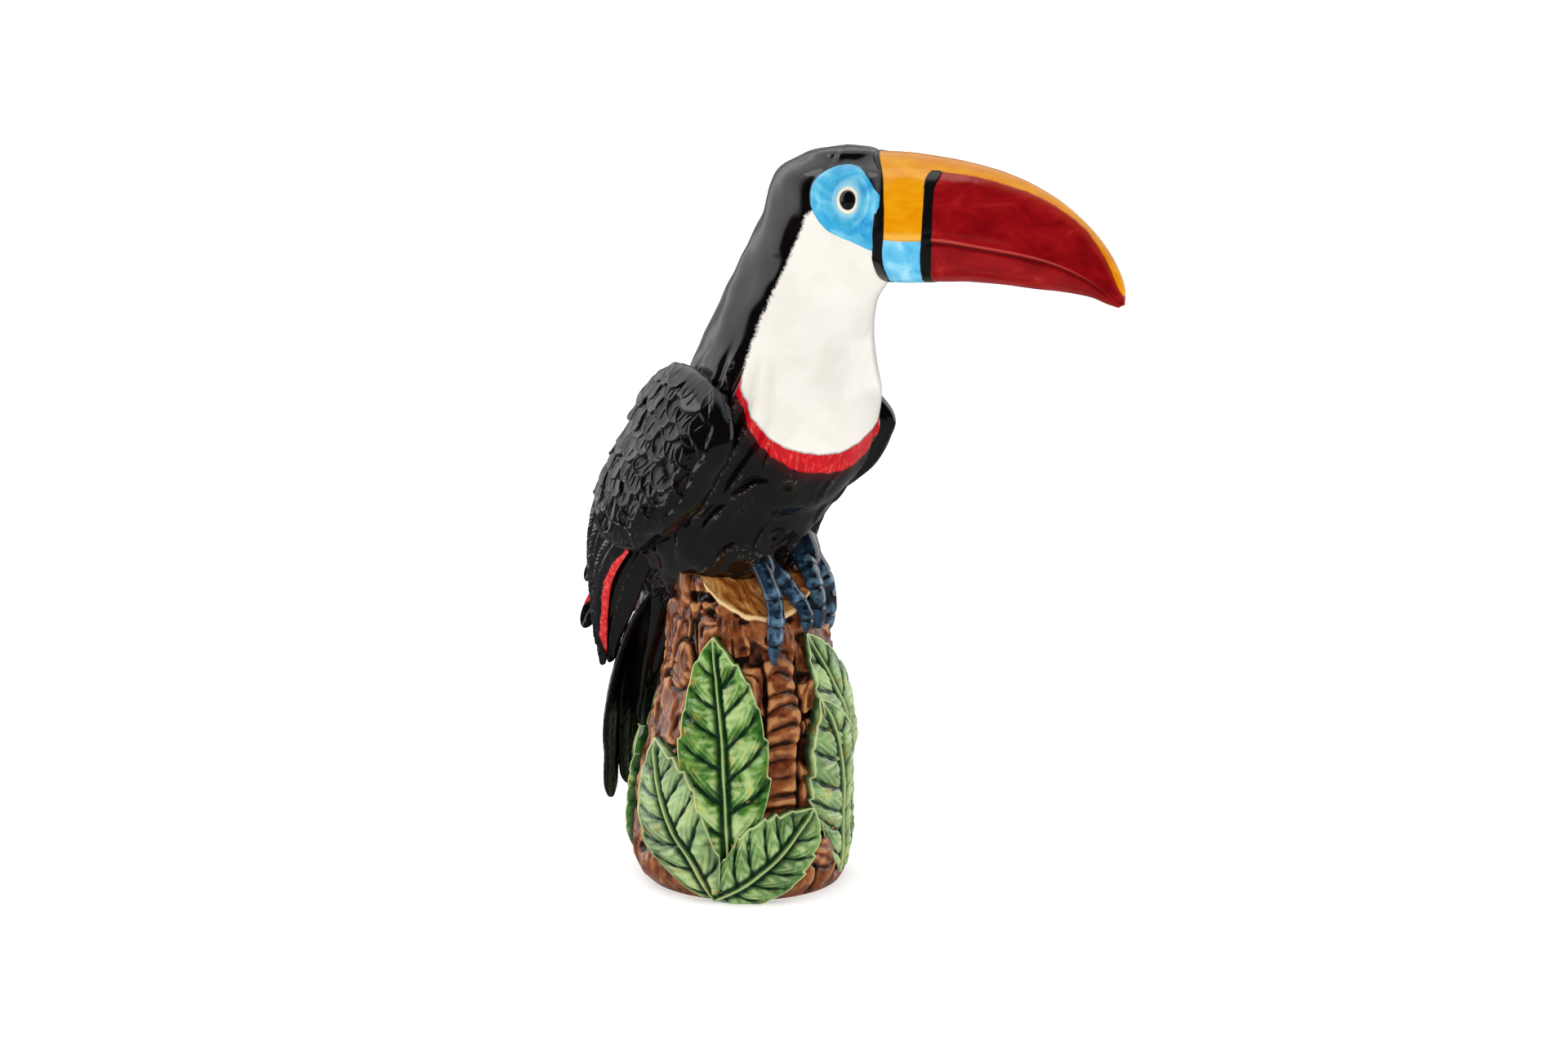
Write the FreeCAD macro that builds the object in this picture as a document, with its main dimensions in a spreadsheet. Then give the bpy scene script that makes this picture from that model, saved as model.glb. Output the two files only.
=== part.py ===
"""Glazed earthenware figurine: a toucan perched on a tree stump with leaves round it.

The piece is slip cast and press moulded in many clay parts, which are luted together with slip before
firing, so nothing moves.  The bird faces +X, its right side is -Y, and the origin is the middle of the
stump's foot, on the shelf.  All sizes are millimetres and degrees, and live in the spreadsheet "sizes".
"""

import FreeCAD, Part
import os

OUT = "parts"
SIDES = {"right": -1, "left": 1}

doc = FreeCAD.newDocument("toucan_figurine")
sizes = doc.addObject("Spreadsheet::Sheet", "sizes")
pieces = []
next_row = 1


# ---- the spreadsheet ----------------------------------------------------------------------------
def put(alias, value):
    """Adds one named number to the sheet."""
    global next_row
    cell = f"A{next_row}"
    sizes.set(cell, str(value))
    sizes.setAlias(cell, alias)
    next_row += 1


def put_table(name, fields, rows):
    """Adds one alias per row and field, such as bird_2_deep."""
    for number, row in enumerate(rows):
        for field, value in zip(fields, row):
            put(f"{name}_{number}_{field}", value)


put("wall", 6.0)  # the bird's cast wall
put("stump_wall", 9.0)
put("leaf_thick", 4.5)  # how far a leaf stands proud of the bark
put("vent_radius", 7.0)  # lets the bird's hollow vent into the stump's
put("vent_x", -4.0)
put("vent_low", 120.0)
put("vent_high", 185.0)
put("chop_x", 34.0)  # a point on the axe-cut face, and the way the face looks
put("chop_y", -27.0)
put("chop_z", 157.0)
put("chop_turn", -42.0)
put("chop_lean", 42.5)
put("chop_size", 160.0)
put("eye_x", 84.6)
put("eye_y", 22.6)
put("eye_z", 385.6)
put("eye_turn", 38.0)  # how far the eye looks away from straight ahead
put("eye_radius", 5.4)
put("eye_bulge", 3.2)

SECTION = ("x", "y", "z", "lean", "wrap", "long", "short")
# Every section is an ellipse: its centre, its lean from level about Y, its turn in its own plane, and its
# longer and shorter half width.
STUMP = [
    (0, 0, 0, 0, 0, 54, 53),
    (-1, -1, 8, 0, 0, 58.5, 57),
    (-2, -1.5, 30, 0, 0, 60, 58.5),
    (-1, -1, 60, 0, 0, 58.5, 57),
    (2, 0, 90, 0, 0, 55, 53),
    (4, 0, 120, 0, 0, 49.5, 47),
    (4, -2, 150, 0, 0, 43.5, 41.5),
    (4, -2, 177, 0, 0, 42, 38),
]
HOLLOW = [
    (0, 0, -2, 0, 0, 46, 45),
    (1, 0, 30, 0, 0, 50, 48.5),
    (1, 0, 60, 0, 0, 46.5, 45),
    (2, 0, 90, 0, 0, 44, 42),
    (1, 0, 120, 0, 0, 34, 32),
    (-2, 0, 140, 0, 0, 22, 21),
]
BIRD = [
    (-64, 0, 148, 62, 0, 7.5, 7),
    (-54, 0, 163, 56, 0, 23, 22),
    (-38, 0, 184, 48, 0, 37, 36),
    (-18, 0, 209, 38, 0, 47, 46),
    (3, 0, 238, 30, 0, 52.5, 52),
    (22, 0, 265, 20, 0, 55, 52),
    (30, 0, 289, 13, 0, 52, 48),
    (36, 0, 314, 12, 0, 46.5, 41),
    (46, 0, 340, 10, 0, 42.5, 33),
    (56, 0, 364, 8, 0, 42, 29),
    (61, 0, 385, 2, 0, 38.5, 27),
    (62.5, 0, 400, 0, 0, 33, 22.5),
    (65, 0, 408, -2, 0, 21, 14),
    (68, 0, 411.5, -4, 0, 8, 6),
]
BILL = [
    (84, 0, 377, 90, 0, 33, 20),
    (98, 0, 376, 92, 0, 34.3, 22.5),
    (124, 0, 376, 93, 0, 33, 21.5),
    (151, 0, 375.3, 95, 0, 30.3, 19),
    (174, 0, 372, 99, 0, 27.3, 16.5),
    (193, 0, 367.3, 105, 0, 23.4, 13.8),
    (208, 0, 361.8, 113, 0, 18.8, 11.2),
    (220, 0, 355.3, 122, 0, 13.8, 8.6),
    (229, 0, 348.8, 132, 0, 8.8, 6),
    (235, 0, 342.8, 142, 0, 4.2, 3.4),
    (237.6, 0, 339, 146, 0, 1.4, 1.3),
]
BILL_HOLLOW = [
    (80, 0, 377, 90, 0, 24, 13),
    (110, 0, 376, 92, 0, 26.5, 15.5),
    (150, 0, 375, 95, 0, 24, 12.5),
    (178, 0, 371, 100, 0, 18, 9.5),
]
RIGHT_WING = [
    (19.9, -50, 283.0, 29, -18, 9.0, 4),
    (13.8, -50, 275.4, 29, -20, 24.9, 10),
    (6.3, -50, 264.8, 29, -22, 36.9, 15),
    (-5.7, -47, 253.7, 29, -23, 41.9, 18),
    (-21.0, -45, 235.1, 29, -23, 41.7, 18.5),
    (-36.6, -43, 220.0, 29, -22, 36.7, 18),
    (-49.7, -40, 208.7, 29, -20, 29.8, 15),
    (-62.0, -35, 199.1, 29, -18, 21.7, 11),
    (-70.0, -32, 191.5, 29, -18, 8.6, 5),
]
LEFT_WING = [
    (28.8, 50, 284.5, 29, 18, 8.4, 4),
    (25.8, 51, 278.5, 29, 20, 27.7, 10),
    (16.9, 51, 265.8, 29, 22, 42.1, 15),
    (1.6, 49, 254.8, 29, 23, 50.0, 18),
    (-17.6, 46, 237.0, 29, 23, 48.9, 18.5),
    (-37.1, 44, 222.7, 29, 22, 41.0, 18),
    (-53.8, 40, 211.4, 29, 20, 33.0, 15),
    (-67.7, 35, 200.8, 29, 18, 24.2, 11),
    (-75.2, 32, 193.6, 29, 18, 9.5, 5),
]
RIGHT_FEATHERS = [
    (-50, -40, 212, 29, -20, 24, 8),
    (-66, -35, 186, 22, -22, 19, 7),
    (-75, -30, 166, 14, -24, 15, 5.5),
    (-76, -27, 148, 6, -24, 13, 4.5),
    (-79, -24, 130, 2, -24, 7.5, 3.2),
    (-80, -22, 117, 0, -24, 3, 1.6),
]
LEFT_FEATHERS = [
    (-48, 40, 214, 29, 20, 32, 9),
    (-72, 33, 190, 30, 26, 26, 7),
    (-88, 23, 171, 28, 32, 22, 5.5),
    (-99, 13, 153, 24, 36, 17, 4.5),
    (-109, 8, 138, 18, 36, 10, 3.4),
    (-117, 5, 125, 14, 36, 3.5, 1.8),
]
TAIL_CENTRE = [
    (-54, 0, 160, 30, 90, 9, 6),
    (-68, 0, 140, 28, 90, 9, 4.5),
    (-80, 0, 100, 10, 90, 9.5, 4),
    (-84, 0, 65, 4, 90, 9.5, 4),
    (-84, 0, 44, 0, 90, 7, 3.2),
    (-83.5, 0, 35, 0, 90, 2.5, 1.6),
]
TAIL_SIDE = [
    (-51, -8.5, 158, 30, 90, 8.5, 5),
    (-66, -10.5, 138, 28, 90, 9.5, 4.5),
    (-78, -12, 100, 10, 90, 10, 4),
    (-84, -12, 63, 4, 90, 9.5, 4),
    (-86, -12, 42, 0, 90, 7.5, 3.2),
    (-86.3, -12, 31, 0, 90, 2.5, 1.6),
]
RIGHT_FOOT = [
    (13, -15, 206, -30, 0, 10.5, 10),
    (21, -16, 193, -30, 0, 10, 9.5),
    (27, -16, 181, -20, 0, 8, 7.5),
    (29, -16.5, 172, -12, 0, 5, 4.5),
]
RIGHT_INNER_TOE = [
    (27, -14.5, 183, -50, 0, 5, 4.6),
    (36, -12.5, 175, -46, 0, 5.2, 4.8),
    (43.5, -11, 166, -38, 0, 4.8, 4.4),
    (48.5, -10.5, 159, -25, 0, 4.2, 3.8),
    (50.3, -10.5, 152, -5, 0, 2.8, 2.4),
    (50, -10.5, 147, 0, 0, 1, 0.9),
]
RIGHT_OUTER_TOE = [
    (27, -19.5, 183, -40, 0, 5.4, 5),
    (34, -22.5, 174, -32, 0, 5.6, 5.2),
    (39.5, -25, 163, -24, 0, 5.2, 4.8),
    (41.5, -27, 153, -8, 0, 4.8, 4.4),
    (42, -28.5, 143.5, 0, 0, 4, 3.6),
    (41.5, -29, 132, 4, 0, 1.2, 1),
]
LEFT_FOOT = [
    (16, 12, 209, -30, 0, 11.5, 11),
    (25, 12.5, 197, -32, 0, 11, 10.5),
    (31, 13.5, 186, -24, 0, 8.5, 8),
    (33, 14, 176, -12, 0, 5.5, 5),
]
LEFT_INNER_TOE = [
    (31, 10.5, 186, -44, 0, 5.4, 5),
    (38, 7, 180.5, -40, 0, 5.4, 5),
    (44.5, 3.5, 172.5, -34, 0, 5, 4.6),
    (47.6, 2.6, 164.5, -14, 0, 4.2, 3.8),
    (48, 3, 157, 0, 0, 3, 2.6),
    (47.6, 3.5, 148.5, 4, 0, 1.2, 1),
]
LEFT_OUTER_TOE = [
    (31.5, 16, 187, -32, 0, 6, 5.4),
    (36, 19.5, 176, -22, 0, 5.8, 5.4),
    (38.7, 23.5, 163, -8, 0, 5.4, 5),
    (38.2, 24.5, 152, 4, 0, 4.8, 4.4),
    (36.7, 24, 143.5, 10, 0, 3.8, 3.4),
    (35, 23.5, 136.5, 12, 0, 1.6, 1.4),
]
TABLES = {
    "stump": STUMP,
    "hollow": HOLLOW,
    "bird": BIRD,
    "bill": BILL,
    "bill_hollow": BILL_HOLLOW,
    "right_wing": RIGHT_WING,
    "left_wing": LEFT_WING,
    "feathers_right": RIGHT_FEATHERS,
    "feathers_left": LEFT_FEATHERS,
    "tail_centre": TAIL_CENTRE,
    "tail_side": TAIL_SIDE,
    "right_foot": RIGHT_FOOT,
    "right_inner_toe": RIGHT_INNER_TOE,
    "right_outer_toe": RIGHT_OUTER_TOE,
    "left_foot": LEFT_FOOT,
    "left_inner_toe": LEFT_INNER_TOE,
    "left_outer_toe": LEFT_OUTER_TOE,
}
for table_name, rows in TABLES.items():
    put_table(table_name, SECTION, rows)

# Leaves stand in three sprays of three: heading round the stump, tilt, height of the middle, half length,
# half width.
LEAF = ("heading", "tilt", "middle", "half", "wide")
LEAVES = {
    "front_leaf_centre": (-69, -1, 62, 84, 24),
    "front_leaf_left": (-101, 14, 33, 54, 18),
    "front_leaf_right": (-30, -40, 18, 48, 17),
    "side_leaf_centre": (20, 11, 58, 86, 23),
    "side_leaf_left": (-2, 9, 44, 60, 17),
    "side_leaf_right": (56, -12, 42, 58, 18),
    "back_leaf_centre": (176, 0, 58, 80, 24),
    "back_leaf_left": (142, 12, 38, 56, 18),
    "back_leaf_right": (-148, -14, 42, 60, 19),
}
for leaf_name, row in LEAVES.items():
    for field, value in zip(LEAF, row):
        put(f"{leaf_name}_{field}", value)


# ---- building helpers ---------------------------------------------------------------------------
def add(kind, name, **links):
    """A document object with plain properties or links set."""
    thing = doc.addObject(kind, name)
    for key, value in links.items():
        setattr(thing, key, value)
    return thing


def bind(thing, **formulas):
    """Drives properties with formulas in the sheet's aliases."""
    for key, formula in formulas.items():
        thing.setExpression(key, formula)
    return thing


def alias_vector(alias, mirror=1):
    """The formula for a section's centre."""
    return f"vector({alias}x; {mirror} * {alias}y; {alias}z)"


def section(name, alias, grow, mirror):
    """One ellipse of a loft; grow is added to both its radii, and mirror is -1 for the other side."""
    ring = add("Part::Ellipse", name, MajorRadius=200)
    lean = f"rotation(vector(0; 1; 0); {alias}lean)"
    wrap = f"rotation(vector(0; 0; 1); {mirror} * {alias}wrap)"
    return bind(
        ring,
        MinorRadius=f"{alias}short + {grow}",
        MajorRadius=f"{alias}long + {grow}",
        Placement=f"placement({alias_vector(alias, mirror)}; {lean} * {wrap})",
    )


def loft(name, table, grow="0", mirror=1, first=0, last=None):
    """A solid through the sections of a table."""
    numbers = list(range(len(TABLES[table])))[first:last]
    rings = [section(f"{name}_ring_{i}", f"sizes.{table}_{i}_", grow, mirror) for i in numbers]
    return add("Part::Loft", name, Sections=rings, Solid=True, Ruled=False)


def cut(name, base, *tools):
    """Takes each tool away in turn; the last cut carries the name."""
    for i, tool in enumerate(tools):
        last = i == len(tools) - 1
        label = name if last else f"{name}_less_{i}"
        base = add("Part::Cut", label, Base=base, Tool=tool, Refine=False)
    return base


def common(name, base, tool):
    return add("Part::Common", name, Base=base, Tool=tool, Refine=False)


def piece(label, thing):
    """Marks a finished sub-part: its Label names its node and its file."""
    thing.Label = label
    pieces.append(thing)
    return thing


# ---- stump --------------------------------------------------------------------------------------
bird_form = loft("bird_form", "bird")
stump_form = loft("stump_form", "stump")
stump_hollow = loft("stump_hollow", "hollow")
vent = bind(
    add("Part::Cylinder", "vent"),
    Radius="sizes.vent_radius",
    Height="sizes.vent_high - sizes.vent_low",
    Placement="placement(vector(sizes.vent_x; 0; sizes.vent_low); rotation(vector(0; 0; 1); 0))",
)
chop = bind(
    add("Part::Box", "chop"),
    Length="sizes.chop_size",
    Width="sizes.chop_size",
    Height="sizes.chop_size",
    Placement=(
        "placement(vector(sizes.chop_x; sizes.chop_y; sizes.chop_z);"
        " rotation(vector(0; 0; 1); sizes.chop_turn) * rotation(vector(0; 1; 0); sizes.chop_lean))"
        " * placement(vector(-sizes.chop_size / 2; -sizes.chop_size / 2; 0); rotation(vector(0; 0; 1); 0))"
    ),
)
stump = cut("stump_cut", stump_form, stump_hollow, chop, bird_form, vent)
piece("stump_shell", stump)

# ---- bird and bill ------------------------------------------------------------------------------
bird_hollow = loft("bird_hollow", "bird", grow="-sizes.wall", first=1, last=12)
bill_form = loft("bill_form", "bill")
bill_hollow = loft("bill_hollow", "bill_hollow")
piece("bird_shell", cut("bird_cut", bird_form, bird_hollow, bill_hollow, vent))
piece("bill", cut("bill_cut", bill_form, bill_hollow, bird_form))

# ---- wings --------------------------------------------------------------------------------------
for side, sign in SIDES.items():
    wing_form = loft(f"{side}_wing_form", f"{side}_wing")
    piece(f"{side}_wing", cut(f"{side}_wing_cut", wing_form, bird_form))
    feathers = loft(f"{side}_feathers_form", f"feathers_{side}")
    feathers = cut(f"{side}_feathers_cut", feathers, wing_form, bird_form)
    piece(f"{side}_flight_feathers", feathers)

# ---- tail ---------------------------------------------------------------------------------------
centre_form = loft("tail_centre_form", "tail_centre")
piece("tail_centre_feather", cut("tail_centre_cut", centre_form, bird_form))
for side, sign in SIDES.items():
    feather = loft(f"tail_{side}_form", "tail_side", mirror=-sign)
    feather = cut(f"tail_{side}_cut", feather, centre_form, bird_form)
    piece(f"tail_{side}_feather", feather)

# ---- feet ---------------------------------------------------------------------------------------
for side, sign in SIDES.items():
    foot_form = loft(f"{side}_foot_form", f"{side}_foot")
    piece(f"{side}_foot", cut(f"{side}_foot_cut", foot_form, bird_form, stump))
    for toe in ("inner", "outer"):
        toe_form = loft(f"{side}_{toe}_form", f"{side}_{toe}_toe")
        toe_form = cut(f"{side}_{toe}_cut", toe_form, foot_form, bird_form, stump)
        piece(f"{side}_{toe}_toe", toe_form)

# ---- eyes ---------------------------------------------------------------------------------------
for side, sign in SIDES.items():
    boss = bind(
        add("Part::Ellipsoid", f"{side}_eye_form", Radius1=3),
        Radius2="sizes.eye_radius",
        Radius3="sizes.eye_radius",
        Radius1="sizes.eye_bulge + 1",
        Placement=(
            f"placement(vector(sizes.eye_x; {sign} * sizes.eye_y; sizes.eye_z);"
            f" rotation(vector(0; 0; 1); {sign} * (90 - sizes.eye_turn)) * rotation(vector(0; 1; 0); 90))"
        ),
    )
    piece(f"{side}_eye", cut(f"{side}_eye_cut", boss, bird_form))

# ---- leaves -------------------------------------------------------------------------------------
leaf_form = loft("leaf_form", "stump", grow="sizes.leaf_thick")
leaf_layer = cut("leaf_layer", leaf_form, stump_form, chop, bird_form)


def leaf_blade(name):
    """A pointed blade looking out from the stump's axis: what two discs side by side share."""
    alias = f"sizes.{name}_"
    arc = f"({alias}half * {alias}half + {alias}wide * {alias}wide) / (2 * {alias}wide)"
    turned = f"rotation(vector(0; 0; 1); {alias}heading) * rotation(vector(1; 0; 0); {alias}tilt)"
    discs = []
    for side, sign in SIDES.items():
        disc = add("Part::Cylinder", f"{name}_{side}_disc", Height=120)
        bind(
            disc,
            Radius=arc,
            Placement=(
                f"placement(vector(0; 0; {alias}middle); {turned})"
                f" * placement(vector(0; {sign} * ({arc} - {alias}wide); 0);"
                " rotation(vector(0; 1; 0); 90))"
            ),
        )
        discs.append(disc)
    return common(f"{name}_blade", *discs)


for spray in ("front", "side", "back"):
    centre_blade = leaf_blade(f"{spray}_leaf_centre")
    piece(f"{spray}_leaf_centre", common(f"{spray}_centre_cut", centre_blade, leaf_layer))
    for side in ("left", "right"):
        blade = leaf_blade(f"{spray}_leaf_{side}")
        leaf = common(f"{spray}_{side}_whole", blade, leaf_layer)
        piece(f"{spray}_leaf_{side}", cut(f"{spray}_{side}_cut", leaf, centre_blade))

# ---- check and write ----------------------------------------------------------------------------
doc.recompute()
for thing in doc.Objects:
    bad = {"Invalid", "Error"} & set(thing.State)
    if bad:
        raise RuntimeError(f"{thing.Name} is {thing.State}")
os.makedirs(OUT, exist_ok=True)
for thing in pieces:
    shape = thing.Shape
    if shape.isNull() or not shape.isValid():
        raise RuntimeError(f"{thing.Label} has no valid shape")
    print(f"{thing.Label:24s} solids {len(shape.Solids)}  volume {shape.Volume / 1000:8.2f} ml")
    shape.exportStep(f"{OUT}/{thing.Label}.step")
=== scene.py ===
"""Glazed toucan figurine on a stump: the detailed pieces, their glazes, the floor, the light and the camera.

Shapes are worked out in millimetres in the CAD frame (+X the way the bill points, +Z up) and scaled once.
A piece starts from sections like the CAD's, and the moulded relief stands on it along its normals.
"""
import math

import bpy
import numpy as np
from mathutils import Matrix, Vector


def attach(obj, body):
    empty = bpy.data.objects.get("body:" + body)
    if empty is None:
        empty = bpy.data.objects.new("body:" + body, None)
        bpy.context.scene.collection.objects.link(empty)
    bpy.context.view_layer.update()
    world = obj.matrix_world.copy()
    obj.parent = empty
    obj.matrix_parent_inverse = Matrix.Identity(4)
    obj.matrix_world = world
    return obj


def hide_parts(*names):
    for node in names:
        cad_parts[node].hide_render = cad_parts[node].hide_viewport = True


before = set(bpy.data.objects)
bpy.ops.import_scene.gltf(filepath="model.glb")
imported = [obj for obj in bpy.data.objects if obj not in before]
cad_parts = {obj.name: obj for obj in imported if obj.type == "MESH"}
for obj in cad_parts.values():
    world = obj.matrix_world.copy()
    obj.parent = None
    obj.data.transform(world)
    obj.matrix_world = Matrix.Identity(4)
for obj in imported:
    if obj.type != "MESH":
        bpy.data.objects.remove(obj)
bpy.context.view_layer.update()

MM = 0.001


# ---- numeric helpers ----------------------------------------------------------------------------
def hash_grid(i, seed):
    """A repeatable value from 0 to 1 for each lattice point."""
    with np.errstate(over="ignore"):
        n = (i[..., 0] * 73856093) ^ (i[..., 1] * 19349663) ^ (i[..., 2] * 83492791) ^ (seed * 2654435761)
        n = (n ^ (n >> 13)) * 1274126177
        n = n ^ (n >> 16)
    return (n & 0xFFFFFF) / float(0xFFFFFF)


def noise(points, size, seed=0):
    """Smooth noise from about -1 to 1; size is the feature size in mm, a number or one per axis."""
    q = np.asarray(points, float) / np.asarray(size, float)
    low = np.floor(q).astype(np.int64)
    f = q - low
    f = f * f * f * (f * (f * 6 - 15) + 10)
    out = 0
    for dx in (0, 1):
        for dy in (0, 1):
            for dz in (0, 1):
                corner = hash_grid(low + np.array([dx, dy, dz]), seed)
                wx = f[..., 0] if dx else 1 - f[..., 0]
                wy = f[..., 1] if dy else 1 - f[..., 1]
                wz = f[..., 2] if dz else 1 - f[..., 2]
                out = out + corner * wx * wy * wz
    return out * 2 - 1


def line_noise(x, size, seed):
    """Noise over one coordinate alone."""
    return noise(np.stack([x, 0 * x, 0 * x], -1), size, seed)


def smoothstep(x, low, high):
    """0 at low, 1 at high, smooth between; high may be the lower number."""
    t = np.clip((x - low) / (high - low), 0, 1)
    return t * t * (3 - 2 * t)


def bump(x, centre, width):
    """A bell that is 1 at the centre."""
    return np.exp(-(((x - centre) / width) ** 2))


def unit(v):
    return v / np.linalg.norm(v, axis=-1, keepdims=True)


def distances(path):
    """How far along a path each of its points lies."""
    return np.r_[0, np.cumsum(np.linalg.norm(np.diff(path, axis=0), axis=1))]


def spline(rows, count, knots=None):
    """Rows resampled evenly by a natural cubic through them.

    Knots say how far along each row lies. Without them it is the distance along the first three columns.
    """
    rows = np.asarray(rows, float)
    if knots is None:
        steps = np.linalg.norm(np.diff(rows[:, :3], axis=0), axis=1) + 1e-6
        knots = np.r_[0, np.cumsum(steps)]
    n = len(rows)
    h = np.diff(knots)
    a = np.zeros((n, n))
    b = np.zeros((n, rows.shape[1]))
    a[0, 0] = a[-1, -1] = 1
    for i in range(1, n - 1):
        a[i, i - 1], a[i, i], a[i, i + 1] = h[i - 1], 2 * (h[i - 1] + h[i]), h[i]
        b[i] = 6 * ((rows[i + 1] - rows[i]) / h[i] - (rows[i] - rows[i - 1]) / h[i - 1])
    m = np.linalg.solve(a, b)
    t = np.linspace(knots[0], knots[-1], count)
    k = np.clip(np.searchsorted(knots, t, side="right") - 1, 0, n - 2)
    d = h[k][:, None]
    u = (t - knots[k])[:, None]
    w = d - u
    bent = (m[k] * w**3 + m[k + 1] * u**3) / (6 * d)
    return bent + (rows[k] / d - m[k] * d / 6) * w + (rows[k + 1] / d - m[k + 1] * d / 6) * u


def table_at(table, x):
    """The second column of a table where its first column is x, smoothly joined."""
    table = np.asarray(table, float)
    fine = spline(table, 200, knots=table[:, 0])
    return np.interp(x, np.linspace(table[0, 0], table[-1, 0], 200), fine[:, 1])


def blur(field, sigma, wrap=(False, False)):
    """Gaussian blur of a grid, sigma in cells along each axis."""
    out = np.asarray(field, float)
    for axis, s in enumerate(sigma):
        if s == 0:
            continue
        r = int(math.ceil(3 * s))
        kernel = np.exp(-0.5 * (np.arange(-r, r + 1) / s) ** 2)
        kernel /= kernel.sum()
        pad = [(0, 0)] * out.ndim
        pad[axis] = (r, r)
        padded = np.pad(out, pad, mode="wrap" if wrap[axis] else "edge")
        windows = (np.take(padded, range(i, i + out.shape[axis]), axis=axis) for i in range(len(kernel)))
        out = sum(k * window for k, window in zip(kernel, windows))
    return out


def round_blur(field, rows, columns):
    """Blur of a grid whose columns run right round a piece."""
    return blur(field, (rows, columns), (False, True))


def grid_normals(p):
    """Unit normals of points (rows, columns, 3) that run right round a piece."""
    n = np.cross(np.roll(p, -1, 1) - np.roll(p, 1, 1), np.gradient(p, axis=0))
    return n / (np.linalg.norm(n, axis=2, keepdims=True) + 1e-12)


def sections(rows, count, columns, spread=None):
    """The CAD's loft through ellipses: (count, columns, 3) points, each column's angle, and the fine rows.

    Each row is x, y, z, lean, wrap, long and short, as the CAD has them. Spread, if given, says how to
    crowd the columns: it turns an even share of the way round into an angle.
    """
    r = spline(rows, count)
    share = np.linspace(0, 1, columns, endpoint=False)
    angle = spread(share) if spread else share * 2 * np.pi
    lean, wrap = np.radians(r[:, 3])[:, None], np.radians(r[:, 4])[:, None]
    a, b = np.maximum(r[:, 5], 0.05)[:, None], np.maximum(r[:, 6], 0.05)[:, None]
    u, v = a * np.cos(angle), b * np.sin(angle)
    e, g = u * np.cos(wrap) - v * np.sin(wrap), u * np.sin(wrap) + v * np.cos(wrap)
    p = np.stack([e * np.cos(lean) + r[:, :1], g + r[:, 1:2], -e * np.sin(lean) + r[:, 2:3]], -1)
    return p, angle, r


def sweep(path, rows, hint):
    """A smooth line along a path, and two unit vectors square to it: across, and out, which is near hint."""
    path = np.asarray(path, float)
    line = spline(path, rows, knots=distances(path))
    tangent = unit(np.gradient(line, axis=0))
    hint = np.asarray(hint, float)
    out = unit(hint - tangent * (tangent @ hint)[:, None])
    return line, np.cross(tangent, out), out


def swept(line, across, out, u, v):
    """Points u across and v out from each point of a swept line."""
    return line[:, None, :] + across[:, None, :] * u[..., None] + out[:, None, :] * v[..., None]


def inside(px, py, outline):
    """Signed distance in mm from a closed outline of (x, y) corners: positive inside it."""
    outline = np.asarray(outline, float)
    best = np.full(px.shape, 1e9)
    odd = np.zeros(px.shape, bool)
    for (ax, ay), (bx, by) in zip(outline, np.roll(outline, -1, 0)):
        ex, ey = bx - ax, by - ay
        t = np.clip(((px - ax) * ex + (py - ay) * ey) / (ex * ex + ey * ey + 1e-9), 0, 1)
        best = np.minimum(best, np.hypot(px - ax - t * ex, py - ay - t * ey))
        cross = (ay > py) != (by > py)
        odd ^= cross & (px < ax + (py - ay) * ex / (ey if abs(ey) > 1e-9 else 1e-9))
    return np.where(odd, best, -best)


# ---- mesh helpers -------------------------------------------------------------------------------
def tube_faces(rows, columns, flip, offset):
    """Quads round a closed tube of points, with a fan to one extra point at each end."""
    faces = []
    for i in range(rows - 1):
        a = offset + i * columns
        b = a + columns
        for j in range(columns):
            k = (j + 1) % columns
            faces.append((a + j, a + k, b + k, b + j))
    first, last = offset + rows * columns, offset + rows * columns + 1
    top = offset + (rows - 1) * columns
    for j in range(columns):
        k = (j + 1) % columns
        faces.append((first, offset + k, offset + j))
        faces.append((last, top + j, top + k))
    return [f[::-1] for f in faces] if flip else faces


def with_ends(field):
    """A grid of values as one column, and the means of its first and last rows for the two end points."""
    field = np.asarray(field)
    return np.r_[field.ravel(), field[0].mean(), field[-1].mean()]


def make_piece(name, tubes, material, node, flip=False):
    """A smooth object in metres made of closed tubes, each with fields that become attributes."""
    points, faces, fields = [], [], []
    for grid, values in tubes:
        rows, columns = grid.shape[:2]
        faces += tube_faces(rows, columns, flip, sum(map(len, points)))
        points.append(np.r_[grid.reshape(-1, 3), [grid[0].mean(0), grid[-1].mean(0)]])
        fields.append({key: with_ends(value) for key, value in values.items()})
    mesh = bpy.data.meshes.new(name)
    mesh.from_pydata((np.concatenate(points) * MM).tolist(), [], faces)
    mesh.update()
    for key in fields[0]:
        layer = mesh.attributes.new(key, "FLOAT", "POINT")
        layer.data.foreach_set("value", np.concatenate([f[key] for f in fields]).astype(np.float32))
    mesh.polygons.foreach_set("use_smooth", [True] * len(mesh.polygons))
    mesh.materials.append(material)
    thing = bpy.data.objects.new(name, mesh)
    bpy.context.scene.collection.objects.link(thing)
    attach(thing, "root")
    if node:
        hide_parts(node)


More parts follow.
